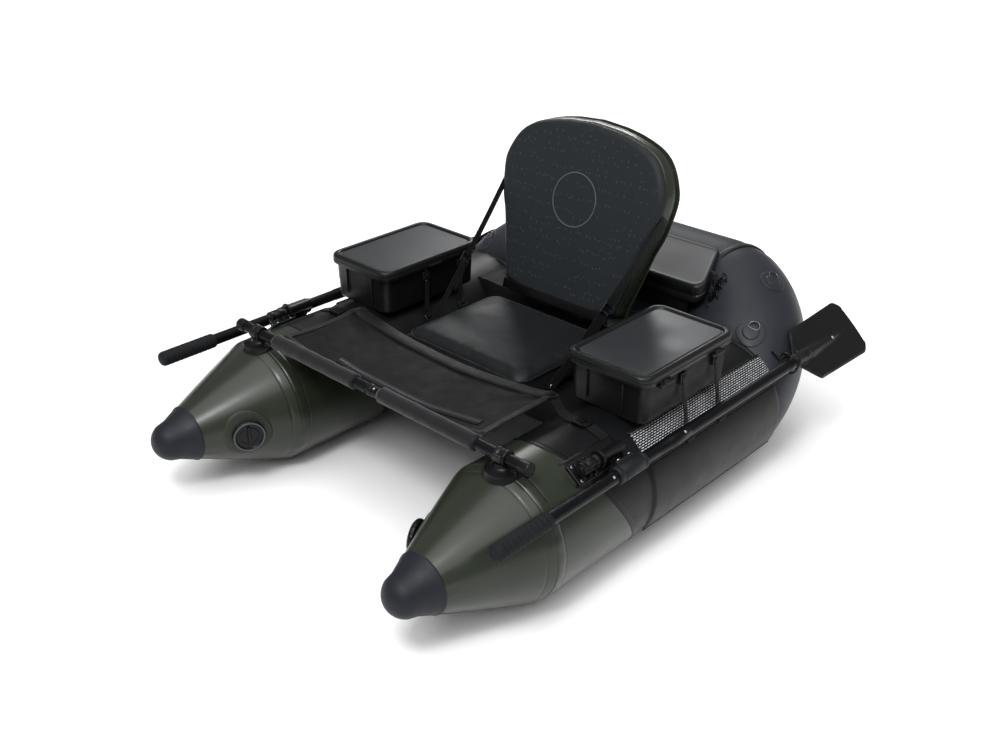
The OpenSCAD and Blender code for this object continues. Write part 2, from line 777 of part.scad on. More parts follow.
module rear_box() {
    y0 = rear_y0 + rear_in;
    y1 = rear_y1 - 34;
    ya = y_rear - tube_r - 6;
    rc = tube_r + rear_clear;
    f0 = asin((rear_floor - tube_r - stern_rise) / rc);
    f1 = acos((y_rear - y1) / rc);
    bend = [for (i = [0:8]) let (f = mix(f0, f1, i / 8))
        [y_rear - rc * cos(f), tube_r + stern_rise + rc * sin(f)]];
    drop = lid_t + 4.5;
    hz = rear_top(rear_y1) - 3;
    ye = rear_y1 - rear_hinge_r - 0.7;
    color("#17181a") difference() {
        intersection() {
            body_plan(0, y0, ya, y1);
            side_profile(concat([[y0, rear_top(y0) - drop], [y0, rear_floor]],
                                bend, [[y1, rear_top(y1) - drop]]));
        }
        intersection() {
            body_plan(8, y0 + box_wall, ya, y1 - box_wall);
            side_profile(concat([[y0, rear_top(y0) + 9], [y0, rear_floor + box_wall],
                                 [ya - 3, rear_floor + box_wall]],
                                [for (p = bend) [p[0] - 3, p[1] + 4]],
                                [[y1, rear_top(y1) + 9]]));
        }
    }
    color("#17181a") for (s = [-1, 1]) sided(s) {
        translate([seam_x - 92, rear_y0 + 20, rear_deck_z])
            cube([40, 20, rear_floor - rear_deck_z + 1]);
        // Lug and eye of the lid's hinge
        intersection() {
            side_profile([[y1 - 2, over_tube(y1) - 0.5], [ye, over_tube(ye) - 1.5], [rear_y1, hz - 1],
                          [rear_y1, hz + 1], [ye, rear_top(ye) - lid_t - 1.3],
                          [y1 - 2, rear_top(y1) - drop - 0.5]]);
            translate([rear_eye[0], y1 - 2, rear_deck_z]) cube([rear_eye[1] - rear_eye[0], 60, 300]);
        }
        rod_x(rear_y1, hz, rear_eye[0], rear_eye[1], rear_hinge_r);
    }
    color("#17181a") rod_x(rear_y1, hz, -rear_eye[1] + 1, rear_eye[1] - 1, rear_pin_r);
}

module rear_box_lid() {
    hy = rear_y1;
    hz = rear_top(rear_y1) - 3;
    color("#4a4d50") difference() {
        union() {
            intersection() {
                rear_plan(0, rear_y0, rear_y1, rear_deck_z, rear_z0 + 80);
                side_profile([[rear_y0, rear_z0], [rear_y0, rear_z0 - rear_rim],
                              [rear_y0 + 4, rear_z0 - rear_rim], [rear_y0 + 4, rear_z0 - 6],
                              [rear_y1, rear_top(rear_y1) - lid_t], [rear_y1, rear_top(rear_y1)]]);
            }
            for (s = [-1, 1]) sided(s) intersection() {
                difference() {
                    rear_plan(0, rear_y0, rear_y1 - 40, rear_deck_z, rear_z0 + 80);
                    rear_plan(4, rear_y0 - 1, rear_y1, rear_deck_z - 1, rear_z0 + 81);
                }
                side_profile([[rear_y0, rear_z0], [rear_y0, rear_z0 - rear_rim],
                              [rear_y1 - 60, rear_top(rear_y1 - 60) - 16],
                              [rear_y1 - 40, rear_top(rear_y1 - 40) - 3],
                              [rear_y1 - 40, rear_top(rear_y1 - 40)]]);
                translate([0, rear_y0, rear_deck_z]) cube([rear_w, rear_l, 400]);
            }
            rod_x(hy, hz, 0.5 - rear_eye[0], rear_eye[0] - 0.5, rear_hinge_r);
        }
        translate([0, (rear_y0 + hy) / 2, rear_top((rear_y0 + hy) / 2)]) rotate([rear_slope, 0, 0])
            round_block(-rear_w2 / 2 + 20, -rear_l / 2 + 20, rear_w2 / 2 - 20, rear_l / 2 - 20,
                        -1, 3, 10);
        rod_x(hy, hz, -rear_eye[1], rear_eye[1], rear_pin_r + run_gap);
        for (s = [-1, 1]) sided(s)
            rod_x(hy, hz, rear_eye[0] - 0.5, rear_eye[1] + 0.5, rear_hinge_r + 0.4);
    }
}

// ---------- straps and rings ----------

// A flat strap between two points of the XZ plane, centred on y
module strap_run(p, q, y) {
    d = unit([q[0] - p[0], q[1] - p[1]]);
    n = [-d[1], d[0]] * strap_t;
    translate([0, y + strap_w / 2, 0]) rotate([90, 0, 0]) linear_extrude(strap_w)
        polygon([p, q, [q[0] + n[0], q[1] + n[1]], [p[0] + n[0], p[1] + n[1]]]);
}

// Strap ends on the tube: radius and angle of the outer and the inner ends
hook_out = [tube_r + pocket_t + 3.2, 37];
hook_in = [tube_r + 2.4, 132];
out_top = [box_x1 - lid_over + 0.2 + strap_t, skirt_z - 14];
out_low = [tube_x, tube_r] + hook_out[0] * [cos(hook_out[1]), sin(hook_out[1])];
in_top = [box_x0 + lid_over - 0.2, skirt_z - 14];
in_low = [min(in_top[0] - 0.2, tube_x + hook_in[0] * cos(hook_in[1])), tube_r + hook_in[0] * sin(hook_in[1])];

module box_straps() {
    color("#121315") for (s = [-1, 1]) sided(s)
        for (y = hook_y) {
            strap_run(out_low, out_top, y);
            strap_run(in_low, in_top, y);
        }
}

module strap_hooks() {
    color("#1c1d20") for (s = [-1, 1]) sided(s)
        for (y = hook_y)
            for (h = [[hook_out[1] - 4, tube_r + pocket_t + 0.4], [hook_in[1] + 4, tube_r + 0.4]])
                at_tube(h[0], y) translate([h[1], -12, -9]) difference() {
                    cube([4, 24, 18]);
                    translate([-1, 6, 5]) cube([6, 12, 7]);
                }
}

// A disc that follows the stern's skin
module skin_disc(s, r, h0, h1) {
    n = 24;
    rows = [[r / 2, h0], [r, h0], [r, h1], [r / 2, h1]];
    points = concat([stern_at(s[0], s[1], h0), stern_at(s[0], s[1], h1)],
        [for (k = rows) for (j = [0:n - 1]) skin_at(s, k[0] * cos(360 * j / n), k[0] * sin(360 * j / n), k[1])]);
    bands = [for (k = [0:2]) for (j = [0:n - 1]) let (m = (j + 1) % n, b = 2 + k * n, c = b + n)
        each [[b + j, b + m, c + m], [b + j, c + m, c + j]]];
    ends = [for (j = [0:n - 1]) let (m = (j + 1) % n)
        each [[0, 2 + m, 2 + j], [1, 2 + 3 * n + j, 2 + 3 * n + m]]];
    polyhedron(points, concat(bands, ends), convexity = 4);
}

module d_ring_patches() {
    color("#1b1c1e") for (s = [-1, 1]) sided(s)
        for (p = d_spots) skin_disc(p, patch_r, patch_gap, patch_gap + 2.2);
}

module d_rings() {
    color("#8b8d90") for (s = [-1, 1]) sided(s)
        for (p = d_spots)
            at_stern(p) translate([0, 0, ring_lift]) difference() {
                cylinder(h = ring_t, r = ring_r + 3);
                translate([0, 0, -1]) cylinder(h = ring_t + 2, r = ring_r);
            }
}

// ---------- oarlocks ----------

module oarlock_base(s) {
    y1 = barrel_y0 + barrel_l;
    color("#2b2d30") sided(s) difference() {
        union() {
            tube_skin(pad_lo, pad_hi, barrel_y0 - 6, lock_y + 45, tube_r, tube_r + lock_pad_t);
            rod_y(barrel_x, barrel_z, barrel_y0, y1, barrel_r);
            at_tube(barrel_ang, 0) translate([tube_r + 1.5, barrel_y0 + 3, -9])
                cube([barrel_rad - tube_r - 4, barrel_l - 6, 18]);
        }
        rod_y(barrel_x, barrel_z, barrel_y0 - 1, y1 + 1, lock_bore_r);
    }
}

module oarlock_block(s) {
    y0 = barrel_y0 + barrel_l;
    foot = [tube_x + (boss_in - 6) * cos(oar_ang), tube_r + (boss_in - 6) * sin(oar_ang)];
    reach = norm([foot[0] - barrel_x, foot[1] - barrel_z]);
    lean = atan2(foot[1] - barrel_z, foot[0] - barrel_x);
    color("#131416") sided(s) difference() {
        union() {
            rod_y(barrel_x, barrel_z, barrel_y0 + 4, y0 + 4, lock_pin_r);
            rod_y(barrel_x, barrel_z, y0 + 2, y0 + 2 + disc_t, disc_r);
            rod_y(barrel_x, barrel_z, y0 + 2, lock_y + 24, block_r);
            translate([barrel_x, lock_y, barrel_z]) rotate([0, -lean, 0])
                translate([0, -20, -4]) cube([reach, 40, 8]);
            at_tube(oar_ang, lock_y) rotate([0, 90, 0])
                translate([0, 0, boss_in - 10]) cylinder(h = 9.6, r = 14);
            at_tube(oar_ang, lock_y) rotate([0, 90, 0])
                translate([0, 0, boss_in - 8]) cylinder(h = stud_top - boss_in + 7.5, r = stud_r);
        }
        difference() {
            at_tube(oar_ang, lock_y) rotate([0, 90, 0])
                translate([0, 0, boss_in - 0.4]) cylinder(h = 30, r = 16);
            at_tube(oar_ang, lock_y) rotate([0, 90, 0]) cylinder(h = 300, r = stud_r);
        }
    }
}

module oar_collar(s) {
    color("#4c5054") sided(s) difference() {
        union() {
            rod_y(oar_x, oar_z, lock_y - collar_l / 2, lock_y + collar_l / 2, collar_r);
            at_tube(oar_ang, lock_y) rotate([0, 90, 0])
                translate([0, 0, boss_in]) cylinder(h = collar_r, r = boss_r);
        }
        rod_y(oar_x, oar_z, lock_y - collar_l, lock_y + collar_l, shaft_r + run_gap);
        at_tube(oar_ang, lock_y) rotate([0, 90, 0])
            translate([0, 0, boss_in - 1]) cylinder(h = stud_top - boss_in + 1.5, r = stud_r + run_gap);
    }
}

module oar_shaft(s) {
    color("#26282b") sided(s) rod_y(oar_x, oar_z, oar_y0 + 4, blade_y + socket_l, shaft_r);
}

module oar_grip(s) {
    color("#5f6265") sided(s) difference() {
        rod_y(oar_x, oar_z, oar_y0, oar_y0 + grip_l, grip_r);
        rod_y(oar_x, oar_z, oar_y0 + 4, oar_y0 + grip_l + 1, shaft_r);
    }
}

module oar_blade(s) {
    w = blade_w / 2;
    root = blade_y + socket_l;
    color("#202225") sided(s) difference() {
        union() {
            translate([oar_x, 0, oar_z]) rotate([0, blade_tilt, 0])
                translate([0, 0, -blade_t / 2]) linear_extrude(blade_t) union() {
                    polygon([[-shaft_r, blade_y + 6], [shaft_r, blade_y + 6], [w - 6, root + 12],
                             [w, oar_y1 - 22], [-w, oar_y1 - 22], [-w + 6, root + 12]]);
                    round_rect(-w, oar_y1 - 60, w, oar_y1, 20);
                }
            rod_y(oar_x, oar_z, blade_y, root + 8, shaft_r + 3);
            translate([oar_x, root + 8, oar_z]) rotate([-90, 0, 0])
                cylinder(h = blade_l - socket_l - 60, r1 = shaft_r + 1, r2 = 5);
        }
        rod_y(oar_x, oar_z, blade_y - 1, root, shaft_r);
    }
}

module oar_button(s) {
    color("#b0b2b4") sided(s) difference() {
        translate([oar_x, lock_y - 62, oar_z]) rotate([0, 40, 0])
            cylinder(h = shaft_r + 3, r = 3.5);
        rod_y(oar_x, oar_z, lock_y - 80, lock_y, shaft_r);
    }
}

bow_cone(-1);  // bow_cone_left
bow_cone(1);  // bow_cone_right
bow_cap(-1);  // bow_cap_left
bow_cap(1);  // bow_cap_right
side_tube(-1);  // side_tube_left
side_tube(1);  // side_tube_right
stern_tube();
side_pocket(-1);  // side_pocket_left
side_pocket(1);  // side_pocket_right
seat_deck();
rear_deck();
bow_valve(-1);  // bow_valve_left
bow_valve(1);  // bow_valve_right
bow_valve_cap(-1);  // bow_valve_cap_left
bow_valve_cap(1);  // bow_valve_cap_right
bar_saddle(-1);  // bar_saddle_left
bar_saddle(1);  // bar_saddle_right
crossbar_left();
crossbar_right();
bar_cap(-1);  // bar_cap_left
bar_cap(1);  // bar_cap_right
bar_latch();
bar_sleeve(-1);  // bar_sleeve_left
bar_sleeve(1);  // bar_sleeve_right
apron();
measuring_tape();
apron_straps();
webbing_buckles();
seat_cushion();
strap_rivets();
strap_adjusters();
backrest_body();
backrest_pad();
backrest_badge();
backrest_strap(-1);  // backrest_strap_left
backrest_strap(1);  // backrest_strap_right
side_box(-1);  // side_box_left
side_box(1);  // side_box_right
side_box_lid(-1);  // side_box_lid_left
side_box_lid(1);  // side_box_lid_right
rear_box();
rear_box_lid();
box_straps();
strap_hooks();
oarlock_base(-1);  // oarlock_base_left
oarlock_base(1);  // oarlock_base_right
oarlock_block(-1);  // oarlock_block_left
oarlock_block(1);  // oarlock_block_right
oar_collar(-1);  // oar_collar_left
oar_collar(1);  // oar_collar_right
oar_shaft(-1);  // oar_shaft_left
oar_shaft(1);  // oar_shaft_right
oar_grip(-1);  // oar_grip_left
oar_grip(1);  // oar_grip_right
oar_blade(-1);  // oar_blade_left
oar_blade(1);  // oar_blade_right
oar_button(-1);  // oar_button_left
oar_button(1);  // oar_button_right
d_ring_patches();
d_rings();
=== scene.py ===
import math
import bpy
import numpy as np
from math import cos, exp, sin, sqrt
from mathutils import Matrix, Vector


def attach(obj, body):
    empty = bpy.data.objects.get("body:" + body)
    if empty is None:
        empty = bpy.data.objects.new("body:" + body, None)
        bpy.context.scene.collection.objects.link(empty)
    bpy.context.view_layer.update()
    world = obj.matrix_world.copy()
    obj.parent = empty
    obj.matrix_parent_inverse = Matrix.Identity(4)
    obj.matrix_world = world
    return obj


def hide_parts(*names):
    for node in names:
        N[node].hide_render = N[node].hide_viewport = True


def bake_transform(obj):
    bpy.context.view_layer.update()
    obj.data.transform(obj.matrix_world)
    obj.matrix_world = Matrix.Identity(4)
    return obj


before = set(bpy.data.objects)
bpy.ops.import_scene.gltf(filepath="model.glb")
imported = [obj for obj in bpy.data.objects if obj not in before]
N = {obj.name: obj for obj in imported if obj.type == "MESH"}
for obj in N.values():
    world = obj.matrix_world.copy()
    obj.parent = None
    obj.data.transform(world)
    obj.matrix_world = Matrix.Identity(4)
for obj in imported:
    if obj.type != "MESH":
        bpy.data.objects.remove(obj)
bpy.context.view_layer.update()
MM = 0.001
pi = math.pi


def rad(a):
    return a * pi / 180


# ---------------------------------------------------------------- camera
def place_camera():
    az, el, roll, dist = rad(43.32), rad(28.06), 0.0032, 2.735
    aim = Vector((0.0, -0.0229, 0.2108))
    back = Vector((sin(az) * cos(el), -cos(az) * cos(el), sin(el)))
    right = Vector((cos(az), sin(az), 0))
    up = back.cross(right)
    r2 = right * cos(roll) + up * sin(roll)
    u2 = up * cos(roll) - right * sin(roll)
    cam = bpy.data.objects.new("camera", bpy.data.cameras.new("camera"))
    bpy.context.scene.collection.objects.link(cam)
    cam.matrix_world = Matrix((
        (r2.x, u2.x, back.x, aim.x + dist * back.x),
        (r2.y, u2.y, back.y, aim.y + dist * back.y),
        (r2.z, u2.z, back.z, aim.z + dist * back.z),
        (0, 0, 0, 1)))
    cam.data.sensor_width = 36
    cam.data.lens = 40.0
    cam.data.clip_end = 100
    bpy.context.scene.camera = cam


place_camera()


# ---------------------------------------------------------------- materials
TONE, SHINE = 0.62, 0.42


class Mat:
    """A Principled material with noise colour variation, roughness variation and bump layers."""

    def __init__(self, name, col, rough=0.5, spec=0.5, metal=0.0, sheen=0.0, coat=0.0):
        col = tuple(c * TONE for c in col)
        spec *= SHINE
        self.m = bpy.data.materials.new(name)
        self.m.use_nodes = True
        self.t = self.m.node_tree
        self.b = self.t.nodes["Principled BSDF"]
        self.b.inputs["Base Color"].default_value = (*col, 1)
        self.b.inputs["Roughness"].default_value = rough
        self.b.inputs["Specular IOR Level"].default_value = spec
        self.b.inputs["Metallic"].default_value = metal
        if sheen:
            self.b.inputs["Sheen Weight"].default_value = sheen
            self.b.inputs["Sheen Roughness"].default_value = 0.45
        if coat:
            self.b.inputs["Coat Weight"].default_value = coat
            self.b.inputs["Coat Roughness"].default_value = 0.25
        self.col = col
        self.rough = rough
        self.normal = None
        self.co = self.node("ShaderNodeTexCoord").outputs["Object"]
        self.uv = None

    def node(self, kind, **values):
        n = self.t.nodes.new(kind)
        for k, v in values.items():
            if k in n.inputs:
                n.inputs[k].default_value = v
            else:
                setattr(n, k, v)
        return n

    def link(self, a, b):
        self.t.links.new(a, b)

    def mapped(self, scale=(1, 1, 1), rot=(0, 0, 0), uv=False):
        n = self.node("ShaderNodeMapping")
        n.inputs["Scale"].default_value = scale
        n.inputs["Rotation"].default_value = rot
        src = self.co
        if uv:
            src = self.node("ShaderNodeTexCoord").outputs["UV"]
        self.link(src, n.inputs["Vector"])
        return n.outputs["Vector"]

    def noise(self, scale, detail=3, rough=0.55, vec=None):
        n = self.node("ShaderNodeTexNoise", Scale=scale, Detail=detail, Roughness=rough)
        self.link(vec if vec else self.co, n.inputs["Vector"])
        return n.outputs["Fac"]

    def math(self, op, a, b=None, clamp=False):
        n = self.node("ShaderNodeMath", operation=op, use_clamp=clamp)
        for i, v in enumerate((a, b)):
            if v is None:
                continue
            if isinstance(v, (int, float)):
                n.inputs[i].default_value = v
            else:
                self.link(v, n.inputs[i])
        return n.outputs[0]

    def ramp(self, fac, stops):
        n = self.node("ShaderNodeValToRGB")
        e = n.color_ramp.elements
        while len(e) < len(stops):
            e.new(0.5)
        for k, (p, c) in enumerate(stops):
            e[k].position = p
            e[k].color = (*c, 1) if len(c) == 3 else c
        self.link(fac, n.inputs[0])
        return n.outputs[0]

    def vary(self, amount=0.12, scale=9, detail=5):
        """Colour and roughness drift over the surface."""
        f = self.noise(scale, detail, 0.6)
        lo = tuple(c * (1 - amount) for c in self.col)
        hi = tuple(min(1, c * (1 + amount)) for c in self.col)
        self.link(self.ramp(f, [(0.3, lo), (0.7, hi)]), self.b.inputs["Base Color"])
        r = self.ramp(self.noise(scale * 2.3, 4), [
            (0.3, (self.rough * 0.86,) * 3), (0.7, (min(1, self.rough * 1.14),) * 3)])
        self.link(r, self.b.inputs["Roughness"])
        return self

    def bump(self, height, strength=0.3, dist=0.001):
        n = self.node("ShaderNodeBump")
        n.inputs["Strength"].default_value = strength
        n.inputs["Distance"].default_value = dist
        self.link(height, n.inputs["Height"])
        if self.normal is not None:
            self.link(self.normal, n.inputs["Normal"])
        self.normal = n.outputs["Normal"]
        self.link(self.normal, self.b.inputs["Normal"])
        return self

    def grain(self, scale=900, strength=0.15, dist=0.0004, detail=2):
        return self.bump(self.noise(scale, detail), strength, dist)

    def weave(self, pitch=0.0022, strength=0.4, dist=0.0005, uv=False, tint=0.0, turn=0.0):
        """Over and under threads on two crossing directions."""
        k = 2 * pi / pitch
        s = k / 20.0
        vec = self.mapped((1, 1, 1), (0, 0, turn), uv)
        h = []
        for direction in ("X", "Y"):
            w = self.node("ShaderNodeTexWave", wave_type="BANDS", bands_direction=direction,
                          wave_profile="SIN", Scale=s, Distortion=0.0)
            self.link(vec, w.inputs["Vector"])
            h.append(w.outputs["Fac"])
        both = self.math("MULTIPLY", h[0], h[1])
        self.bump(both, strength, dist)
        if tint:
            base = self.b.inputs["Base Color"]
            lo = tuple(c * (1 - tint) for c in self.col)
            hi = tuple(min(1, c * (1 + tint)) for c in self.col)
            self.link(self.ramp(both, [(0.0, lo), (0.6, hi)]), base)
        return self


def srgb(r, g, b):
    return tuple(((c / 255) / 12.92) if c / 255 <= 0.04045 else (((c / 255) + 0.055) / 1.055) ** 2.4
                 for c in (r, g, b))


def pvc(name, col, rough=0.42, fine=1400, wrinkle=0.25, coat=0.0):
    m = Mat(name, col, rough, 0.5, coat=coat)
    m.vary(0.10, 7)
    m.bump(m.noise(5, 3, 0.5), wrinkle, 0.004)
    m.bump(m.noise(38, 3, 0.5), wrinkle * 0.35, 0.0012)
    m.grain(fine, 0.10, 0.0003)
    return m.m


M = {}
M["olive"] = pvc("olive pvc", srgb(44, 50, 39), 0.32, coat=0.3)
M["black"] = pvc("black pvc", srgb(14, 15, 17), 0.42)
M["stern"] = pvc("charcoal pvc", srgb(46, 49, 56), 0.44)
M["patch"] = pvc("patch pvc", srgb(30, 31, 33), 0.42)
M["seam_dark"] = pvc("dark seam tape", srgb(24, 25, 27), 0.5)
M["valve_patch"] = pvc("olive patch", srgb(52, 57, 49), 0.46)


def make_materials():
    # key, name, (colour, roughness, specular, metal), colour drift, grain
    for key, name, look, drift, grain in (
        ("cap", "cap rubber", (srgb(34, 37, 45), 0.5, 0.45), (0.12, 14), (700, 0.22, 0.0006, 4)),
        ("hard", "hard plastic", (srgb(19, 19, 21), 0.36, 0.5), (0.15, 30), (1500, 0.12, 0.0003)),
        ("eva_edge", "eva edge", (srgb(38, 42, 44), 0.55, 0.4), (0.1, 20), (1600, 0.2, 0.0004)),
        ("box", "box plastic", (srgb(21, 21, 23), 0.40, 0.5), (0.12, 12), (1100, 0.2, 0.0004, 3)),
        ("lid", "lid plastic", (srgb(54, 56, 59), 0.36, 0.5), (0.08, 5), (1400, 0.14, 0.0003, 3)),
        ("rim", "lid rim", (srgb(26, 27, 28), 0.34, 0.5), (0.1, 15), (1400, 0.1, 0.0003)),
        ("grey", "grey plastic", (srgb(30, 32, 35), 0.5, 0.45), (0.1, 30), (900, 0.25, 0.0005)),
        ("grip", "grip foam", (srgb(30, 32, 35), 0.7, 0.3), (0.1, 60), (1100, 0.5, 0.0008, 4)),
        ("blade", "blade plastic", (srgb(15, 16, 18), 0.4, 0.5), (0.1, 10), (1300, 0.2, 0.0004, 3)),
        ("steel", "steel", ((0.55, 0.55, 0.56), 0.28, 0.5, 1.0), (0.1, 80), (600, 0.1, 0.0003)),
        ("print", "print grey", (srgb(96, 100, 102), 0.6, 0.4), (0.1, 60), (1500, 0.2, 0.0003)),
        ("gloss", "gloss plastic", (srgb(15, 15, 17), 0.24, 0.5), (0.15, 40), (900, 0.1, 0.0003)),
        ("lid_pale", "pale lid", (srgb(72, 73, 75), 0.42, 0.5), (0.07, 5), (1400, 0.14, 0.0003, 3)),
        ("ring_metal", "ring metal", ((0.16, 0.16, 0.17), 0.3, 0.5, 1.0), (0.1, 80),
         (600, 0.1, 0.0003)),
    ):
        m = Mat(name, *look)
        m.vary(*drift)
        m.grain(*grain)
        M[key] = m.m
    m = Mat("nylon", srgb(9, 10, 12), 0.55, 0.2, sheen=0.05)
    m.vary(0.18, 12)
    m.weave(0.0026, 0.35, 0.0004)
    m.bump(m.noise(16, 4, 0.6), 0.35, 0.004)
    M["nylon"] = m.m
    m = Mat("hem nylon", srgb(15, 16, 18), 0.46, 0.4, sheen=0.05)
    m.vary(0.15, 20)
    m.weave(0.003, 0.4, 0.0005)
    M["hem"] = m.m
    m = Mat("webbing", srgb(15, 16, 18), 0.55, 0.3, sheen=0.06)
    m.weave(0.0032, 0.8, 0.0009, tint=0.15, turn=pi / 4)
    M["webbing"] = m.m
    m = Mat("anodised tube", srgb(17, 18, 21), 0.38, 0.4, metal=0.3)
    m.vary(0.1, 25)
    n = m.noise(60, 2, 0.5, m.mapped((1, 0.04, 1)))
    m.bump(n, 0.06, 0.0004)
    M["tube"] = m.m
    m = Mat("sleeve foam", srgb(24, 24, 27), 0.62, 0.35, sheen=0.2)
    m.vary(0.2, 26)
    m.bump(m.noise(30, 4, 0.6), 0.5, 0.003)
    m.weave(0.003, 0.35, 0.0005)
    M["sleeve"] = m.m
    m = Mat("seat fabric", srgb(21, 23, 26), 0.46, 0.4, sheen=0.04)
    m.vary(0.15, 6)
    m.bump(m.noise(9, 3, 0.5), 0.3, 0.004)
    m.weave(0.0024, 0.25, 0.0003)
    M["seat"] = m.m
    m = Mat("eva pad", srgb(42, 46, 50), 0.62, 0.35)
    m.vary(0.1, 9)
    v = m.node("ShaderNodeTexVoronoi", feature="F1", distance="EUCLIDEAN", Scale=1.0,
               Randomness=0.5)
    m.link(m.mapped((105, 105, 62)), v.inputs["Vector"])
    dots = m.math("LESS_THAN", v.outputs["Distance"], 0.19)
    m.bump(dots, 0.5, 0.0012)
    m.grain(1800, 0.25, 0.0004)
    base = m.b.inputs["Base Color"]
    c = m.col
    m.link(m.ramp(dots, [(0.0, c), (1.0, tuple(x * 2.3 for x in c))]), base)
    M["eva"] = m.m
    # mesh with light reflective dashes
    m = Mat("pocket mesh", srgb(30, 31, 33), 0.55, 0.4)
    b = m.node("ShaderNodeTexBrick", Scale=1.0)
    b.offset = 0.5
    b.inputs["Color1"].default_value = (*srgb(214, 216, 218), 1)
    b.inputs["Color2"].default_value = (*srgb(168, 170, 174), 1)
    b.inputs["Mortar"].default_value = (*srgb(16, 16, 18), 1)
    b.inputs["Mortar Size"].default_value = 0.16
    b.inputs["Mortar Smooth"].default_value = 0.25
    b.inputs["Brick Width"].default_value = 0.9
    b.inputs["Row Height"].default_value = 0.42
    m.link(m.mapped((88, 88, 1), (0, 0, 0), True), b.inputs["Vector"])
    m.link(b.outputs["Color"], m.b.inputs["Base Color"])
    m.bump(b.outputs["Fac"], -0.6, 0.0012)
    M["mesh"] = m.m
    m = Mat("ripstop weave", srgb(50, 53, 59), 0.5, 0.45)
    b = m.node("ShaderNodeTexBrick", Scale=1.0)
    b.offset = 0.5
    b.inputs["Color1"].default_value = (*srgb(64, 67, 74), 1)
    b.inputs["Color2"].default_value = (*srgb(46, 49, 56), 1)
    b.inputs["Mortar"].default_value = (*srgb(24, 26, 31), 1)
    b.inputs["Mortar Size"].default_value = 0.22
    b.inputs["Brick Width"].default_value = 1.1
    b.inputs["Row Height"].default_value = 0.55
    m.link(m.mapped((95, 95, 1), (0, 0, 0.5), True), b.inputs["Vector"])
    m.link(b.outputs["Color"], m.b.inputs["Base Color"])
    m.bump(b.outputs["Fac"], -0.5, 0.001)
    M["ripstop"] = m.m
    # measuring tape: pale tick marks on a clear strip
    m = Mat("tape", srgb(120, 122, 122), 0.4, 0.5)
    u = m.node("ShaderNodeTexBrick", Scale=1.0)
    u.offset = 0.5
    u.inputs["Color1"].default_value = (*srgb(200, 202, 200), 1)
    u.inputs["Color2"].default_value = (*srgb(150, 152, 150), 1)
    u.inputs["Mortar"].default_value = (*srgb(24, 25, 27), 1)
    u.inputs["Mortar Size"].default_value = 0.3
    u.inputs["Brick Width"].default_value = 0.8
    u.inputs["Row Height"].default_value = 0.5
    m.link(m.mapped((75, 75, 1), (0, 0, 0), True), u.inputs["Vector"])
    m.link(u.outputs["Color"], m.b.inputs["Base Color"])
    m.grain(1200, 0.1, 0.0003)
    M["tape"] = m.m
    M["stern_patch"] = pvc("stern patch pvc", srgb(47, 50, 57), 0.40)


make_materials()


# ---------------------------------------------------------------- mesh helpers, in millimetres
def piece(name, verts, faces, mats, body, replaces=(), slot=None, smooth=True, mat_of=None,
          uvs=None,
          sub=0, sharp=None):
    me = bpy.data.meshes.new(name)
    me.from_pydata([tuple(c * MM for c in v) for v in verts], [], faces)
    mats = mats if isinstance(mats, (list, tuple)) else [mats]
    for m in mats:
        me.materials.append(M[m])
    if mat_of is not None:
        for p, k in zip(me.polygons, mat_of):
            p.material_index = k
    if uvs is not None:
        layer = me.uv_layers.new(name="uv")
        for loop in me.loops:
            layer.data[loop.index].uv = uvs[loop.vertex_index]
    me.polygons.foreach_set("use_smooth", [smooth] * len(me.polygons))
    me.validate()
    me.update()
    o = bpy.data.objects.new(name, me)
    bpy.context.scene.collection.objects.link(o)
    if sharp:
        o.data.set_sharp_from_angle(angle=rad(sharp))
    if sub:
        s = o.modifiers.new("sub", "SUBSURF")
        s.levels = s.render_levels = sub
    if replaces:
        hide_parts(*replaces)
    if body:
        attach(o, body)
    return o


def flip_x(verts):
    return [(-v[0], v[1], v[2]) for v in verts]


def flip_faces(faces):
    return [tuple(reversed(f)) for f in faces]


def sided(s, verts, faces):
    return (verts, faces) if s > 0 else (flip_x(verts), flip_faces(faces))


def side_name(s):
    return "right" if s > 0 else "left"


def on_both_sides(build):
    for s in (-1, 1):
        build(s)


def loft(rings, closed=True, cap0=True, cap1=True):
    """Quads between equal rings of points, with end caps."""
    n = len(rings[0])
    verts = [tuple(p) for r in rings for p in r]
    faces = []
    for i in range(len(rings) - 1):
        for j in range(n if closed else n - 1):
            k = (j + 1) % n
            faces.append((i * n + j, i * n + k, (i + 1) * n + k, (i + 1) * n + j))
    if cap0:
        faces.append(tuple(reversed(range(n))))
    if cap1:
        faces.append(tuple((len(rings) - 1) * n + j for j in range(n)))
    return verts, faces


def merge(parts):
    verts, faces = [], []
    for v, f in parts:
        k = len(verts)
        verts += list(v)
        faces += [tuple(i + k for i in q) for q in f]
    return verts, faces


def lerp(a, b, t):
    return a + (b - a) * t


def smoothstep(t):
    t = max(0.0, min(1.0, t))
    return t * t * (3 - 2 * t)


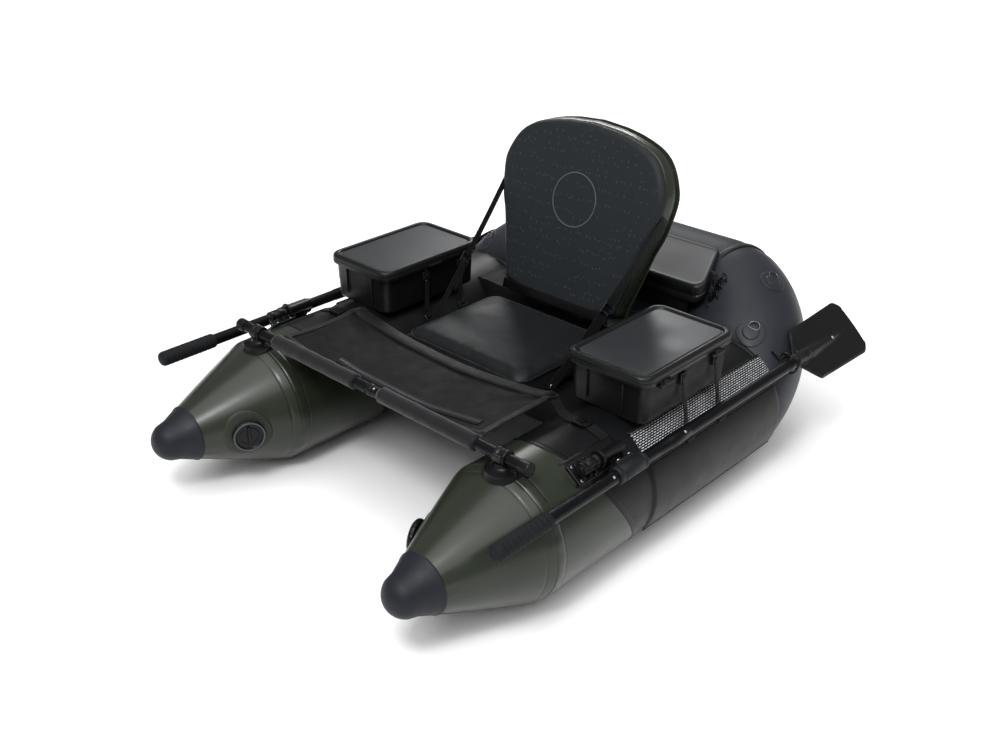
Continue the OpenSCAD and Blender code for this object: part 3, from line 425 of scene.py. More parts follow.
def round_corners(corners, inset, r, seg=6):
    """A convex outline, given counter-clockwise, moved inwards by inset with corners of radius r."""
    c = [np.array(p, float) for p in corners]
    n = len(c)
    lines = []
    for i in range(n):
        d = c[(i + 1) % n] - c[i]
        d = d / np.linalg.norm(d)
        nrm = np.array([-d[1], d[0]])
        lines.append((c[i] + nrm * (inset + r), d, nrm))
    out = []
    for i in range(n):
        p0, d0, n0 = lines[i - 1]
        p1, d1, n1 = lines[i]
        den = d0[0] * d1[1] - d0[1] * d1[0]
        t = ((p1[0] - p0[0]) * d1[1] - (p1[1] - p0[1]) * d1[0]) / den
        m = p0 + d0 * t
        a0 = math.atan2(-n0[1], -n0[0])
        a1 = math.atan2(-n1[1], -n1[0])
        while a1 < a0:
            a1 += 2 * pi
        for k in range(seg + 1):
            a = lerp(a0, a1, k / seg)
            out.append((m[0] + r * cos(a), m[1] + r * sin(a)))
    return out


def rect(x0, y0, x1, y1):
    return [(x0, y0), (x1, y0), (x1, y1), (x0, y1)]


def shell_rings(corners, steps, height, seg=6):
    """Rings from (inset, height, corner radius) steps; height(x, y) is the ground surface."""
    return [[(x, y, height(x, y) + z) for x, y in round_corners(corners, i, max(0.3, r), seg)]
            for i, z, r in steps]


def path_tube(points, r, n=12, closed=False, flat=None, up=(0, 0, 1)):
    """A tube of radius r, or a flat strap flat=(width, thickness), along points in millimetres."""
    p = [np.array(q, float) for q in points]
    rings = []
    last = np.array(up, float)
    m = len(p)
    for i in range(m):
        a = p[(i - 1) % m] if (closed or i > 0) else p[i]
        b = p[(i + 1) % m] if (closed or i < m - 1) else p[i]
        d = b - a
        d = d / (np.linalg.norm(d) + 1e-9)
        side = np.cross(d, last)
        side = side / (np.linalg.norm(side) + 1e-9)
        w = np.cross(side, d)
        if flat is None:
            last = w
        ring = []
        rr = r(i / (m - 1)) if callable(r) else r
        for j in range(n):
            t = 2 * pi * j / n
            if flat is None:
                ring.append(p[i] + rr * (cos(t) * side + sin(t) * w))
            else:
                cx = math.copysign(abs(cos(t)) ** 0.35, cos(t)) * flat[0] / 2
                cz = math.copysign(abs(sin(t)) ** 0.7, sin(t)) * flat[1] / 2
                ring.append(p[i] + cx * side + cz * w)
        rings.append(ring)
    if closed:
        rings.append(rings[0])
        return loft(rings, cap0=False, cap1=False)
    return loft(rings)


def curve_points(ctrl, n=24):
    """Catmull-Rom through the control points."""
    c = [np.array(p, float) for p in ctrl]
    c = [2 * c[0] - c[1]] + c + [2 * c[-1] - c[-2]]
    out = []
    segs = len(c) - 3
    for i in range(segs):
        k = max(2, n // segs)
        for j in range(k):
            t = j / k
            p0, p1, p2, p3 = c[i:i + 4]
            out.append(0.5 * (2 * p1 + (p2 - p0) * t + (2 * p0 - 5 * p1 + 4 * p2 - p3) * t * t
                              + (3 * p1 - p0 - 3 * p2 + p3) * t ** 3))
    out.append(c[-2])
    return out


def block(cx, cy, cz, sx, sy, sz, r=2.0, axes=None):
    """A box with rounded edges about a centre; axes are its three directions."""
    steps = []
    for k in range(4):
        t = k / 3 * pi / 2
        steps.append((r * (1 - sin(t)), -sz / 2 + r * (1 - cos(t))))
    steps = steps + [(i, -z) for i, z in reversed(steps)]
    rings = []
    for i, z in steps:
        ring = round_corners(rect(-sx / 2, -sy / 2, sx / 2, sy / 2), i, max(0.3, r - i * 0.7), 4)
        rings.append([(x, y, z) for x, y in ring])
    v, f = loft(rings)
    a = axes if axes is not None else [np.array((1, 0, 0)), np.array((0, 1, 0)),
                                       np.array((0, 0, 1))]
    o = np.array((cx, cy, cz), float)
    return [tuple(o + p[0] * a[0] + p[1] * a[1] + p[2] * a[2]) for p in v], f


def lathe(profile, origin, axis, n=32, ref=(0.3, 0.2, 0.9)):
    """Turns (radius, height) pairs about an axis."""
    ax = np.array(axis, float)
    ax = ax / np.linalg.norm(ax)
    u = np.cross(ax, np.array(ref, float))
    u = u / np.linalg.norm(u)
    w = np.cross(ax, u)
    o = np.array(origin, float)
    rings = [[o + ax * h + r * (cos(2 * pi * j / n) * u + sin(2 * pi * j / n) * w)
              for j in range(n)] for r, h in profile]
    return loft(rings)


def paint(node, *names):
    """Gives a carried-over CAD node its procedural material."""
    o = N[node]
    o.data.materials.clear()
    for k in names:
        o.data.materials.append(M[k])
    for p in o.data.polygons:
        p.material_index = 0


# ---------------------------------------------------------------- hull dimensions
TX, TR = 400.0, 155.0
YB, YC, YA, YR = -750.0, -444.0, 361.35, 595.0
RISE, BR, TURN = 137.0, 252.0, 68.0
CAPY = YB + 90
SLOPE = (TR - 47) / (306 - 47)


def cone_r(y):
    r = 47 + SLOPE * (y - YB - 47)
    return min(TR, r)


def edge_y(z):
    """Where the olive panel ends, at height z."""
    return -322 + 0.65 * (310 - z) if z > 60 else -159.5 - 0.3 * (60 - z)


def bulge(y, t):
    """Small swellings and pinches of a blown-up skin near its seams."""
    d = 0.0
    d += 1.6 * sin(pi * max(0, min(1, (y - CAPY) / (YC - CAPY))))
    for ys, amp in ((YC, 1.0), (YC + 22, 0.7), (YC - 22, 0.7)):
        d -= amp * 1.3 * exp(-((y - ys) / 2.6) ** 2)
    pucker = exp(-((y - YC) / 26.0) ** 2) * 0.7
    d += pucker * sin(t * 23 + 1.3 * sin(t * 3)) * max(0.0, sin(t * 2 + 0.4))
    near_cap = exp(-((y - CAPY - 14) / 16.0) ** 2) * 0.9
    d += near_cap * sin(t * 17 + 0.6) * max(0.0, cos(t * 1.5 + 0.3))
    return d


def skin_point(y, t, dr=0.0):
    r = min(TR, cone_r(y)) + bulge(y, t) + dr
    return (TX + r * cos(t), y, TR + max(-TR + 0.2, r * sin(t)))


def build_side(s):
    tag = side_name(s)
    n = 96
    ts = [2 * pi * j / n for j in range(n)]
    ys = sorted(set([CAPY + i * (YC - CAPY) / 44 for i in range(45)]
                    + [YC + i * 2.0 for i in range(-16, 17)]))
    rings = [[skin_point(y, t) for t in ts] for y in ys]
    last_y = ys[-1]
    for i in range(1, 15):
        rings.append([skin_point(lerp(last_y, edge_y(TR + TR * sin(t)), i / 14),
                                 t) for t in ts])
    v, f = sided(s, *loft(rings, cap0=False, cap1=False))
    piece(f"bow_skin_{tag}", v, f, "olive", "hull", [f"bow_cone_{tag}"], "olive_pvc")
    # black panel, its front edge lapped under the olive one
    m = 60
    rings = []
    for i in range(m + 1):
        ring = []
        for t in ts:
            y0 = edge_y(TR + TR * sin(t))
            y = lerp(y0, YA, i / m)
            d = 0.5 * sin(y * 0.021 + t * 2) * 0.6
            d -= 2.0 * exp(-((y - YA) / 5.0) ** 2)
            d += 0.6 * exp(-((y - YA) / 22.0) ** 2) * sin(t * 26)
            r = TR + d - (0.4 if i == 0 else 0)
            ring.append((TX + r * cos(t), y, TR + max(-TR + 0.2, r * sin(t))))
        rings.append(ring)
    v, f = sided(s, *loft(rings, cap0=False, cap1=False))
    piece(f"tube_skin_{tag}", v, f, "black", "hull", [f"side_tube_{tag}"], "black_pvc")

    # welded seam tapes: raised bands that follow the skin
    def band(y_at, width, lift, mat, name, a0=0.0, a1=2 * pi):
        k = 120
        rr = []
        full = a1 - a0 > 6.28
        for j in range(k + (0 if full else 1)):
            t = a0 + (a1 - a0) * j / k
            yc = y_at(t)
            prof = [(-width / 2, -0.6), (-width / 2 + 0.5, lift * 0.8), (-width / 4, lift),
                    (width / 4, lift), (width / 2 - 0.5, lift * 0.8), (width / 2, -0.6)]
            rr.append([skin_point(yc + p, t, q) for p, q in prof])
        if full:
            rr.append(rr[0])
        vv, ff = loft(rr, closed=True, cap0=not full, cap1=not full)
        piece(name, *sided(s, vv, ff), mat, "hull")

    band(lambda t: edge_y(TR + TR * sin(t)), 16, 0.9, "black", f"panel_seam_{tag}")
    band(lambda t: YC + 11, 26, 0.8, "olive", f"cone_seam_{tag}", rad(-40), rad(150))
    # the long welded flap low on the outer side
    rr = []
    for i in range(60):
        y = lerp(CAPY + 6, 330, i / 59)
        t0 = rad(lerp(-62, -66, i / 59))
        ring = []
        for q, l in ((-0.055, -0.5), (-0.05, 1.2), (0, 1.5), (0.05, 1.2), (0.055, -0.5)):
            ring.append(skin_point(y, t0 + q, l))
        rr.append(ring)
    v, f = sided(s, *loft(rr))
    k = sum(1 for i in range(59) if lerp(CAPY + 6, 330, i / 59) < -200)
    mo = [0 if (i // 5) < k else 1 for i in range(len(f))]
    piece(f"keel_seam_{tag}", v, f, ["olive", "black"], "hull", mat_of=mo)
    # rubber cap with a rolled lip
    prof = [(0.01, 0)]
    tip = 47.0
    ca = math.atan(SLOPE)
    for i in range(1, 15):
        a = lerp(pi / 2, ca, i / 14)
        prof.append((tip * cos(a), tip - tip * sin(a)))
    for h in (50, 60, 70, 80, 84):
        prof.append((47 + SLOPE * (h - 47) + lerp(0.3, 1.8, (h - 50) / 40), h))
    rb = 47 + SLOPE * 43
    prof += [(rb + 1.6, 87), (rb + 2.3, 89), (rb + 2.0, 91), (rb + 0.9, 92.2), (rb - 1.5, 92.6)]
    v, f = lathe(prof, (TX, YB, TR), (0, 1, 0), 72)
    v, f = sided(s, v, f)
    piece(f"cap_{tag}", v, f, "cap", "hull", [f"bow_cap_{tag}"], "cap_rubber")


on_both_sides(build_side)


# ---------------------------------------------------------------- stern
def corner(a):
    a = rad(a)
    return np.array([148 + BR * cos(a), YA + BR * sin(a),
                     TR + RISE * sin(a) / sin(rad(TURN))])


def corner_dir(a):
    k = min(1.0, a / 30.0)
    a = rad(a)
    v = np.array([-sin(a), cos(a), k * cos(a) * RISE / (BR * sin(rad(TURN)))])
    return v / np.linalg.norm(v)


def ring_frame(c, d):
    u = np.cross(d, (0, 0, 1))
    u = u / np.linalg.norm(u)
    return c, d, u, np.cross(u, d)


def stern_frames():
    out = []
    na = 34
    for i in range(na + 1):
        a = TURN * i / na
        c = corner(a)
        d = corner_dir(a)
        if i == na:
            d = d + np.array([-1.0, 0, 0])
        out.append((c, d / np.linalg.norm(d), a))
    xs = corner(TURN)[0]
    for i in range(1, 28):
        out.append((np.array([xs * (1 - i / 14), YR, TR + RISE]), np.array([-1.0, 0, 0]), None))
    for c, d, a in reversed(out[:na + 1]):
        out.append((c * np.array([-1, 1, 1]), -d * np.array([-1, 1, 1]), a))
    return [ring_frame(c, d) + (a,) for c, d, a in out]


def stern_point(fr, t, dr=0.0):
    c, _, u, w, _ = fr
    return c + (TR + dr) * (cos(t) * u + sin(t) * w)


def build_stern():
    fr = stern_frames()
    n = 96
    rings, uv = [], []
    length = 0
    for i, q in enumerate(fr):
        if i:
            length += np.linalg.norm(q[0] - fr[i - 1][0])
        pinch = 0.0
        if q[4] is not None:
            pinch = -1.8 * exp(-((q[4] - TURN) / 1.6) ** 2) - 1.8 * exp(-(q[4] / 1.0) ** 2)
        ring = []
        for j in range(n):
            t = 2 * pi * j / n
            fold = 0.0
            if q[4] is not None:
                inner = max(0.0, -cos(t))
                fold = 2.2 * inner ** 2 * sin(q[4] * 0.55) * max(0.0, sin(rad(q[4]) * 2.4))
            ring.append(stern_point(q, t, pinch + fold - 0.2))
            uv.append((length * MM, TR * t * MM))
        rings.append(ring)
    v, f = loft(rings, cap0=False, cap1=False)
    mats = []
    for i in range(len(fr) - 1):
        for j in range(n):
            t = (j + 0.5) * 360 / n
            rear = fr[i][4] is None or fr[i + 1][4] is None
            mats.append(1 if rear and 38 < t < 128 else 0)
    piece("stern_skin", v, f, ["stern", "ripstop"], "hull", ["stern_tube"], "charcoal_pvc",
              mat_of=mats, uvs=uv)
    # seam tapes across the tube
    marks = [k for k, q in enumerate(fr) if q[4] is not None and (q[4] < 0.01 or q[4] > TURN - 0.01)]
    for b, k in enumerate(marks):
        q = fr[k]
        rr = []
        for j in range(97):
            t = 2 * pi * j / 96
            rr.append([stern_point(q, t, l) + q[1] * p for p, l in
                       ((-9, -2.4), (-8, 0.4), (-3, 0.7), (3, 0.7), (8, 0.4), (9, -2.4))])
        v, f = loft(rr, cap0=False, cap1=False)
        piece(f"stern_seam_{b}", v, f, "patch" if q[4] > 1 else "seam_dark", "hull")
    # welded strip along the outside of the whole bend
    for tag, t0 in (("outer", rad(-48)),):
        rr = []
        for q in fr:
            rr.append([stern_point(q, t0 + p, l) for p, l in
                       ((-0.06, -1.0), (-0.055, 0.9), (0.055, 0.9), (0.06, -1.0))])
        v, f = loft(rr)
        piece(f"stern_strip_{tag}", v, f, "stern", "hull")


build_stern()


# ---------------------------------------------------------------- side pockets and decks
def build_pocket(s):
    tag = side_name(s)

    def patch(y0, y1, a0, a1, lift, ny, na, edge=4.0, sag=0.0):
        rings, uv = [], []
        for i in range(ny + 1):
            y = lerp(y0, y1, i / ny)
            ring = []
            for j in range(na + 1):
                a = rad(lerp(a0, a1, j / na))
                e = min(i, ny - i) / ny * (y1 - y0)
                g = min(j, na - j) / na * (a1 - a0) * TR * pi / 180
                k = smoothstep(min(e, g) / edge)
                d = -1.5 + (lift + 1.5) * k
                d += sag * sin(pi * j / na) * (0.6 + 0.4 * sin(y * 0.031))
                ring.append((TX + (TR + d) * cos(a), y, TR + (TR + d) * sin(a)))
                uv.append((y * MM, TR * a * MM))
            rings.append(ring)
        v, f = loft(rings, closed=False, cap0=False, cap1=False)
        return flip_faces(f) and (v, flip_faces(f), uv)

    v, f, uv = patch(-135, 372, 33, 60, 2.4, 90, 14, 3, 1.2)
    piece(f"pocket_mesh_{tag}", *sided(s, v, f), "mesh", "hull", [f"side_pocket_{tag}"], "mesh",
          uvs=uv)
    v, f, uv = patch(-140, 365, -32, 34, 3.6, 80, 26, 5, 0.8)
    piece(f"pocket_panel_{tag}", *sided(s, v, f), "black", "hull", uvs=uv)
    # piping along the pocket's mouth and hem
    for k, a, r in ((0, 32, 2.6), (1, 60, 2.2), (2, -31, 1.6)):
        pts = []
        for i in range(50):
            y = lerp(-140, 368, i / 49)
            aa = rad(a)
            pts.append((TX + (TR + 3.2) * cos(aa), y, TR + (TR + 3.2) * sin(aa)))
        piece(f"pocket_piping_{tag}_{k}", *sided(s, *path_tube(pts, r, 10)), "hem", "hull")


on_both_sides(build_pocket)


def build_deck_step():
    """Sloping cloth that joins the seat deck to the rear deck."""
    rings = []
    for i in range(9):
        y, z = lerp(200, 246, i / 8), lerp(246, 294, smoothstep(i / 8))
        half = TX - sqrt(TR ** 2 - (z - TR) ** 2) + 2
        row = [(lerp(-half, half, j / 40), y, z + 1.6 * sin(j * 0.9) * sin(pi * i / 8)) for j in range(41)]
        rings.append(row + [(x, q + 0.8, w - 1.6) for x, q, w in reversed(row)])
    piece("deck_step_cloth", *loft(rings), "nylon", "hull")


build_deck_step()


def build_decks():
    for name, y0, y1, z in (("seat_deck", -163, 207, 249), ("rear_deck", 239, 361, 296)):
        half = TX - sqrt(TR ** 2 - (z - TR) ** 2)
        rings = []
        for i in range(25):
            y = lerp(y0, y1, i / 24)
            ring = []
            for j in range(41):
                x = lerp(-half, half, j / 40)
                k = smoothstep(min(j, 40 - j) / 5)
                zz = z - 1 - 3.5 * k * (1 + 0.4 * sin(x * 0.05 + y * 0.03)) * sin(pi * j / 40) ** 0.5
                ring.append((x, y, zz))
            ring += [(x, y, zz - 6) for x, y, zz in reversed(ring)]
            rings.append(ring)
        piece(name + "_panel", *loft(rings), "nylon", "hull", [name], "nylon")


build_decks()


# ---------------------------------------------------------------- bow valves
def valve_frame():
    ca = math.atan(SLOPE)
    vy = YB + 185
    vr = 47 + SLOPE * (185 - 47)
    nrm = np.array([-cos(ca), -sin(ca), 0])
    return np.array([TX - vr, vy, TR]), nrm


def build_valves():
    p, nrm = valve_frame()
    ca = math.atan(SLOPE)
    along = np.array([-sin(ca), cos(ca), 0])
    upv = np.array([0, 0, 1.0])
    for s in (-1, 1):
        tag = side_name(s)
        # round welded patch that follows the cone
        rings = []
        for i in range(15):
            r = 56 * i / 12 if i <= 12 else 56 + (i - 12) * 0.3
            lift = 1.6 if i <= 12 else 1.6 - (i - 12) * 1.4
            ring = []
            for j in range(64):
                t = 2 * pi * j / 64
                q = p + along * (max(r, 0.2) * cos(t)) + upv * (max(r, 0.2) * sin(t))
                y = q[1]
                ang = (q[2] - TR) / cone_r(y)
                ring.append(skin_point(y, pi - math.asin(max(-1, min(1, ang))), lift))
            rings.append(ring)
        v, f = sided(s, *loft(rings, cap1=False))
        piece(f"valve_patch_{tag}", v, f, "valve_patch", "hull")
        prof = [(19, 3), (19, 13.4), (20, 14), (23, 14), (24, 13.2), (24, 4), (30, 3.8), (33, 2.6),
                (34.5, -2)]
        v, f = lathe(prof, p, nrm, 48)
        v, f = sided(s, v, f)
        piece(f"valve_neck_{tag}", v, f, "hard", "hull", [f"bow_valve_{tag}"], "hard_plastic")
        # cap: knurled rim, dished face and a grip bar
        parts = []
        rings = []
        prof = [(24.4, 4.2), (37, 4.2), (39.3, 5.4), (40, 7.5), (40, 12), (39.2, 14.4), (37, 15.8),
                (33, 16), (31, 15.2), (29.6, 13.2), (20, 12.6), (8, 12.4), (0.1, 12.4)]
        ax = nrm
        for r, h in prof:
            ring = []
            for j in range(96):
                t = 2 * pi * j / 96
                rr = r - (0.9 if (j % 4 < 2 and r > 39) else 0)
                ring.append(p + ax * h + rr * (cos(t) * along + sin(t) * upv))
            rings.append(ring)
        parts.append(loft(rings, cap0=False))
        b = block(*(p + nrm * 15), 52, 7, 9, 2.5, axes=[upv, along, nrm])
        parts.append(b)
        v, f = sided(s, *merge(parts))
        piece(f"valve_cap_{tag}", v, f, "hard", f"valve_cap_{tag}", [f"bow_valve_cap_{tag}"],
              "hard_plastic",
              sharp=40)
        v, f = lathe([(34.5, 16.2), (36.5, 16.4), (36.5, 16.9), (34.5, 16.9)], p, nrm, 64)
        rings = [[p + nrm * h + r * (cos(2 * pi * j / 64) * along + sin(2 * pi * j / 64) * upv)
                  for j in range(64)] for r, h in ((33.6, 15.9), (34.2, 16.6), (36.4, 16.6),
                                                   (37, 15.7))]
        v, f = sided(s, *loft(rings, cap0=False, cap1=False))
        piece(f"valve_ring_{tag}", v, f, "print", f"valve_cap_{tag}")


build_valves()


# ---------------------------------------------------------------- crossbar
BY, BZ = -438.0, 338.0


def build_crossbar():
    for s in (-1, 1):
        tag = side_name(s)
        # foam sleeve in a sewn cover with a folded hem at both ends
        rings = []
        for i in range(61):
            x = lerp(40, 332, i / 60)
            e = min(x - 40, 332 - x)
            base = 17.6 - 3.5 * exp(-(e / 1.6) ** 2) + (0.5 if e < 14 else 0)
            ring = []
            for j in range(36):
                t = 2 * pi * j / 36
                w = 0.35 * sin(x * 0.11 + 3 * sin(t)) * sin(t * 2 + x * 0.02)
                seam = 0.5 * exp(-((t - 4.2) / 0.07) ** 2)
                r = base + w + seam
                ring.append((x, BY + r * cos(t), BZ + r * sin(t)))
            rings.append(ring)
        v, f = sided(s, *loft(rings))
        piece(f"sleeve_{tag}", v, f, "sleeve", f"bar_{tag}", [f"bar_sleeve_{tag}"], "sleeve_foam")
        # end cap with grip flutes
        rings = []
        for x, r in ((447.5, 12.6), (447.5, 14.2), (449, 15), (470, 15), (472.4, 14.4), (473.6, 13),
                     (474, 10.5), (473, 9.5), (472.6, 0.1)):
            rings.append([(x, BY + (r - (0.7 if (j % 6 < 2 and 14.9 < r) else 0)) * cos(2 * pi * j / 48),
                           BZ + (r - (0.7 if (j % 6 < 2 and 14.9 < r) else 0)) * sin(2 * pi * j / 48))
                          for j in range(48)])
        v, f = sided(s, *loft(rings, cap0=False))
        piece(f"bar_end_{tag}", v, f, "hard", f"bar_{tag}", [f"bar_cap_{tag}"], "hard_plastic",
              sharp=45)
        # saddle: turned base, waist and split ring
        parts = []
        rings = []
        for r, z in ((41.5, 298), (41.5, 309), (40.5, 311.5), (38, 313), (30, 314.2), (22, 315.5),
                     (17, 318.5),
                     (15.5, 322), (15.5, 326)):
            ring = []
            for j in range(64):
                t = 2 * pi * j / 64
                x, y = TX + r * cos(t), BY + r * sin(t)
                zz = z
                if z < 312:
                    rr = cone_r(y)
                    floor = TR + sqrt(max(0, rr ** 2 - (x - TX) ** 2)) + 0.3
                    zz = floor + max(0, (z - 298) * 0.32)
                ring.append((x, y, zz))
            rings.append(ring)
        parts.append(loft(rings, cap0=False))
        prof = [(12.6, -15), (12.6, 15), (16.4, 15), (17.6, 14.4), (18, 13.4), (18, 5), (17.2, 4.2),
                (17.2, -4.2), (18, -5), (18, -13.4), (17.6, -14.4), (16.4, -15), (12.6, -15)]
        rr = []
        for r, h in prof:
            rr.append([(TX + h, BY + r * cos(2 * pi * j / 48),
                        BZ + r * sin(2 * pi * j / 48))
                       for j in range(48)])
        parts.append(loft(rr, cap0=False, cap1=False))
        for a in (45, 135, 225, 315):
            x, y = TX + 31 * cos(rad(a)), BY + 31 * sin(rad(a))
            z = TR + sqrt(cone_r(y) ** 2 - (x - TX) ** 2) + 3.2
            parts.append(lathe([(3.4, 0), (3.4, 1.2), (2.4, 2.2), (0.1, 2.4)], (x, y, z), (0, 0, 1),
                               14))
        parts.append(block(TX, BY - 17, BZ + 3, 24, 7, 15, 2))
        v, f = sided(s, *merge(parts))
        if s > 0:
            v2, f2 = merge([(v, f), block(436, BY - 7, 316, 12, 4, 15, 1.5),
                            block(436, BY + 7, 316, 12, 4, 15, 1.5)])
            v, f = v2, f2
        piece(f"saddle_{tag}", v, f, "hard", "hull", [f"bar_saddle_{tag}"], "hard_plastic",
              sharp=50)
    paint("crossbar_left", "tube")
    paint("crossbar_right", "tube")
    # joint sleeve in the middle, on the right-hand half, with its snap button
    v, f = lathe([(12.5, 0), (13.4, 0.4), (14.0, 1.5), (14.0, 15), (13.4, 16.4), (12.5, 17)],
                 (1.0, BY, BZ), (1, 0, 0), 40)
    piece("joint_ferrule", v, f, "hard", "bar_right", sharp=50)
    piece("bar_button", *lathe([(3.2, 11), (3.2, 14.2), (2.2, 15.2), (0.1, 15.4)], (26, BY, BZ),
                               (0, -0.5, 0.86), 18), "steel", "bar_right")
    # latch lever
    parts = [lathe([(4.4, -4.5), (4.4, 4.5)], (437, BY, 319), (0, 1, 0), 24)]
    pts = [(439, BY, 318.5), (447, BY, 318.3), (456, BY, 318.6), (463, BY, 318.4), (467, BY, 317.8)]
    parts.append(path_tube(pts, 0, 16, flat=(9, 4.2)))
    piece("latch_lever", *merge(parts), "hard", "latch", ["bar_latch"], "hard_plastic", sharp=50)


build_crossbar()


# ---------------------------------------------------------------- apron
AW, ASAG = 650.0, 34.0


def apron_z(x):
    return 346 - ASAG * (1 - (2 * x / AW) ** 2)


def apron_top(x, y):
    """Height of the apron's cloth, with folds that run in from the corners."""
    z = apron_z(x) + 2
    u = (y + 419.6) / 234.6
    z += 1.8 * sin(x * 0.028 + 1.1 + u * 2.2) * sin(pi * min(1, max(0, u)))
    for sx in (-1, 1):
        d = math.hypot((x - sx * 325) / 150, (u - 0.9) / 0.8)
        z += 3.2 * exp(-d * 2.2) * sin(math.atan2(u - 0.95, (x - sx * 325) / 300) * 9)
    return z


def build_apron():
    nx, ny = 90, 34
    y0, y1 = -419.4, -186.0
    top, uv = [], []
    for i in range(ny + 1):
        u = i / ny
        row = []
        for j in range(nx + 1):
            w = j / nx
            half = AW / 2 - 3 - 8 * sin(pi * u)
            x = lerp(-half, half, w)
            row.append((x, lerp(y0, y1, u), apron_top(x, lerp(y0, y1, u))))
            uv.append((x * MM, lerp(y0, y1, u) * MM))
        top.append(row)
    rings = []
    for row in top:
        rings.append(row + [(x, y, z - 1.4) for x, y, z in reversed(row)])
    apron = piece("apron_cloth", *loft(rings), "nylon", "hull", ["apron"], "nylon")
    # bound side hems and the padded rear hem
    for s in (-1, 1):
        pts = [(s * (AW / 2 - 5 - 8 * sin(pi * i / 30)), lerp(y0, y1, i / 30),
                apron_top(s * (AW / 2 - 5 - 8 * sin(pi * i / 30)), lerp(y0, y1, i / 30)) - 0.4)
               for i in range(31)]
        v, f = path_tube(pts, 0, 12, flat=(16, 3.4))
        piece(f"apron_side_hem_{'r' if s > 0 else 'l'}", v, f, "hem", "hull")
    pts = [(lerp(-318, 318, i / 60), -203, apron_top(lerp(-318, 318, i / 60),
                                                     -203) + 0.8) for i in range(61)]
    rings = []
    for i, (x, y, z) in enumerate(pts):
        th = 5.2 + 0.5 * sin(i * 0.9)
        rings.append([(x, y + 17.5 * math.copysign(abs(cos(t)) ** 0.6, cos(t)),
                       z + th * math.copysign(abs(sin(t)) ** 0.8, sin(t)))
                      for t in [2 * pi * k / 18 for k in range(18)]])
    hem = piece("apron_rear_hem", *loft(rings), "hem", "hull")
    # stitch line beside the hem
    pts = [(x, -226, apron_top(x, -226) + 0.5) for x, y, z in pts]
    piece("apron_stitch", *path_tube(pts, 0.7, 6), "hem", "hull")
    # front hem that laps on to the sleeves
    pts = [(lerp(-322, 322, i / 60), -414, apron_top(lerp(-322, 322, i / 60),
                                                     -414) + 0.6) for i in range(61)]
    piece("apron_front_hem", *path_tube(pts, 0, 12, flat=(12, 3.6), up=(0, 0, 1)),
                       "hem", "hull")
    # measuring tape
    rings, uv = [], []
    for i in range(61):
        x = lerp(-172.5, 280.5, i / 60)
        row = []
        for k, (yy, l) in enumerate(((-390, 0.6), (-389.2, 2.4), (-379, 2.7), (-368.8, 2.4),
                                     (-368, 0.6))):
            row.append((x, yy, apron_top(x, yy) + l))
            uv.append((x * MM, yy * MM))
        rings.append(row)
    v, f = loft(rings, closed=False, cap0=False, cap1=False)
    piece("tape_strip", v, f, ["hem", "tape"], "hull", ["measuring_tape"],
                       "tape_vinyl", uvs=uv,
                       mat_of=[1 if (k % 4) in (1, 2) else 0 for k in range(len(f))])


build_apron()


def ladder_buckle(c, axes, w=30, l=34, name="buckle", body="hull", replaces=(), slot=None):
    """A side-release buckle: two prongs, a bar and a ridged body."""
    a, b, n = [np.array(q, float) for q in axes]
    c = np.array(c, float)
    parts = [block(*(c - b * l * 0.2), w, l * 0.6, 7, 2, axes=[a, b, n]),
             block(*(c + b * l * 0.34), w * 0.8, l * 0.34, 6, 1.6, axes=[a, b, n])]
    for sx in (-1, 1):
        parts.append(block(*(c + b * l * 0.12 + a * sx * w * 0.44), w * 0.16, l * 0.42, 5.5, 1.4,
                           axes=[a, b, n]))
    for k in range(3):
        parts.append(block(*(c - b * l * (0.05 + 0.14 * k) + n * 3.6), w * 0.7, 2, 1.6, 0.6,
                           axes=[a, b, n]))
    return merge(parts)


def build_apron_straps():
    parts, bk = [], []
    for s in (-1, 1):
        ctrl = [(s * 312, -198, 344), (s * 326, -197, 338), (s * 345, -197, 318),
                (s * 362, -197, 310.5)]
        for a in (98, 90, 80, 70, 60):
            r = TR + 1.8
            ctrl.append((s * (TX + r * cos(rad(a))), -197 + (90 - a) * 0.1,
                         TR + r * sin(rad(a))))
        pts = curve_points(ctrl, 60)
        v, f = path_tube(pts, 0, 14, flat=(25, 2.2))
        parts.append((v, f))
        v, f = ladder_buckle((s * 402, -197, 315), [(0, 1, 0), (s * 1.0, 0, 0), (0, 0, 1)], 31, 40)
        bk.append((v, f))
    piece("apron_strap_pair", *merge(parts), "webbing", "hull", ["apron_straps"], "webbing")
    piece("strap_buckles", *merge(bk), "hard", "hull", ["webbing_buckles"], "hard_plastic",
          sharp=50)


build_apron_straps()


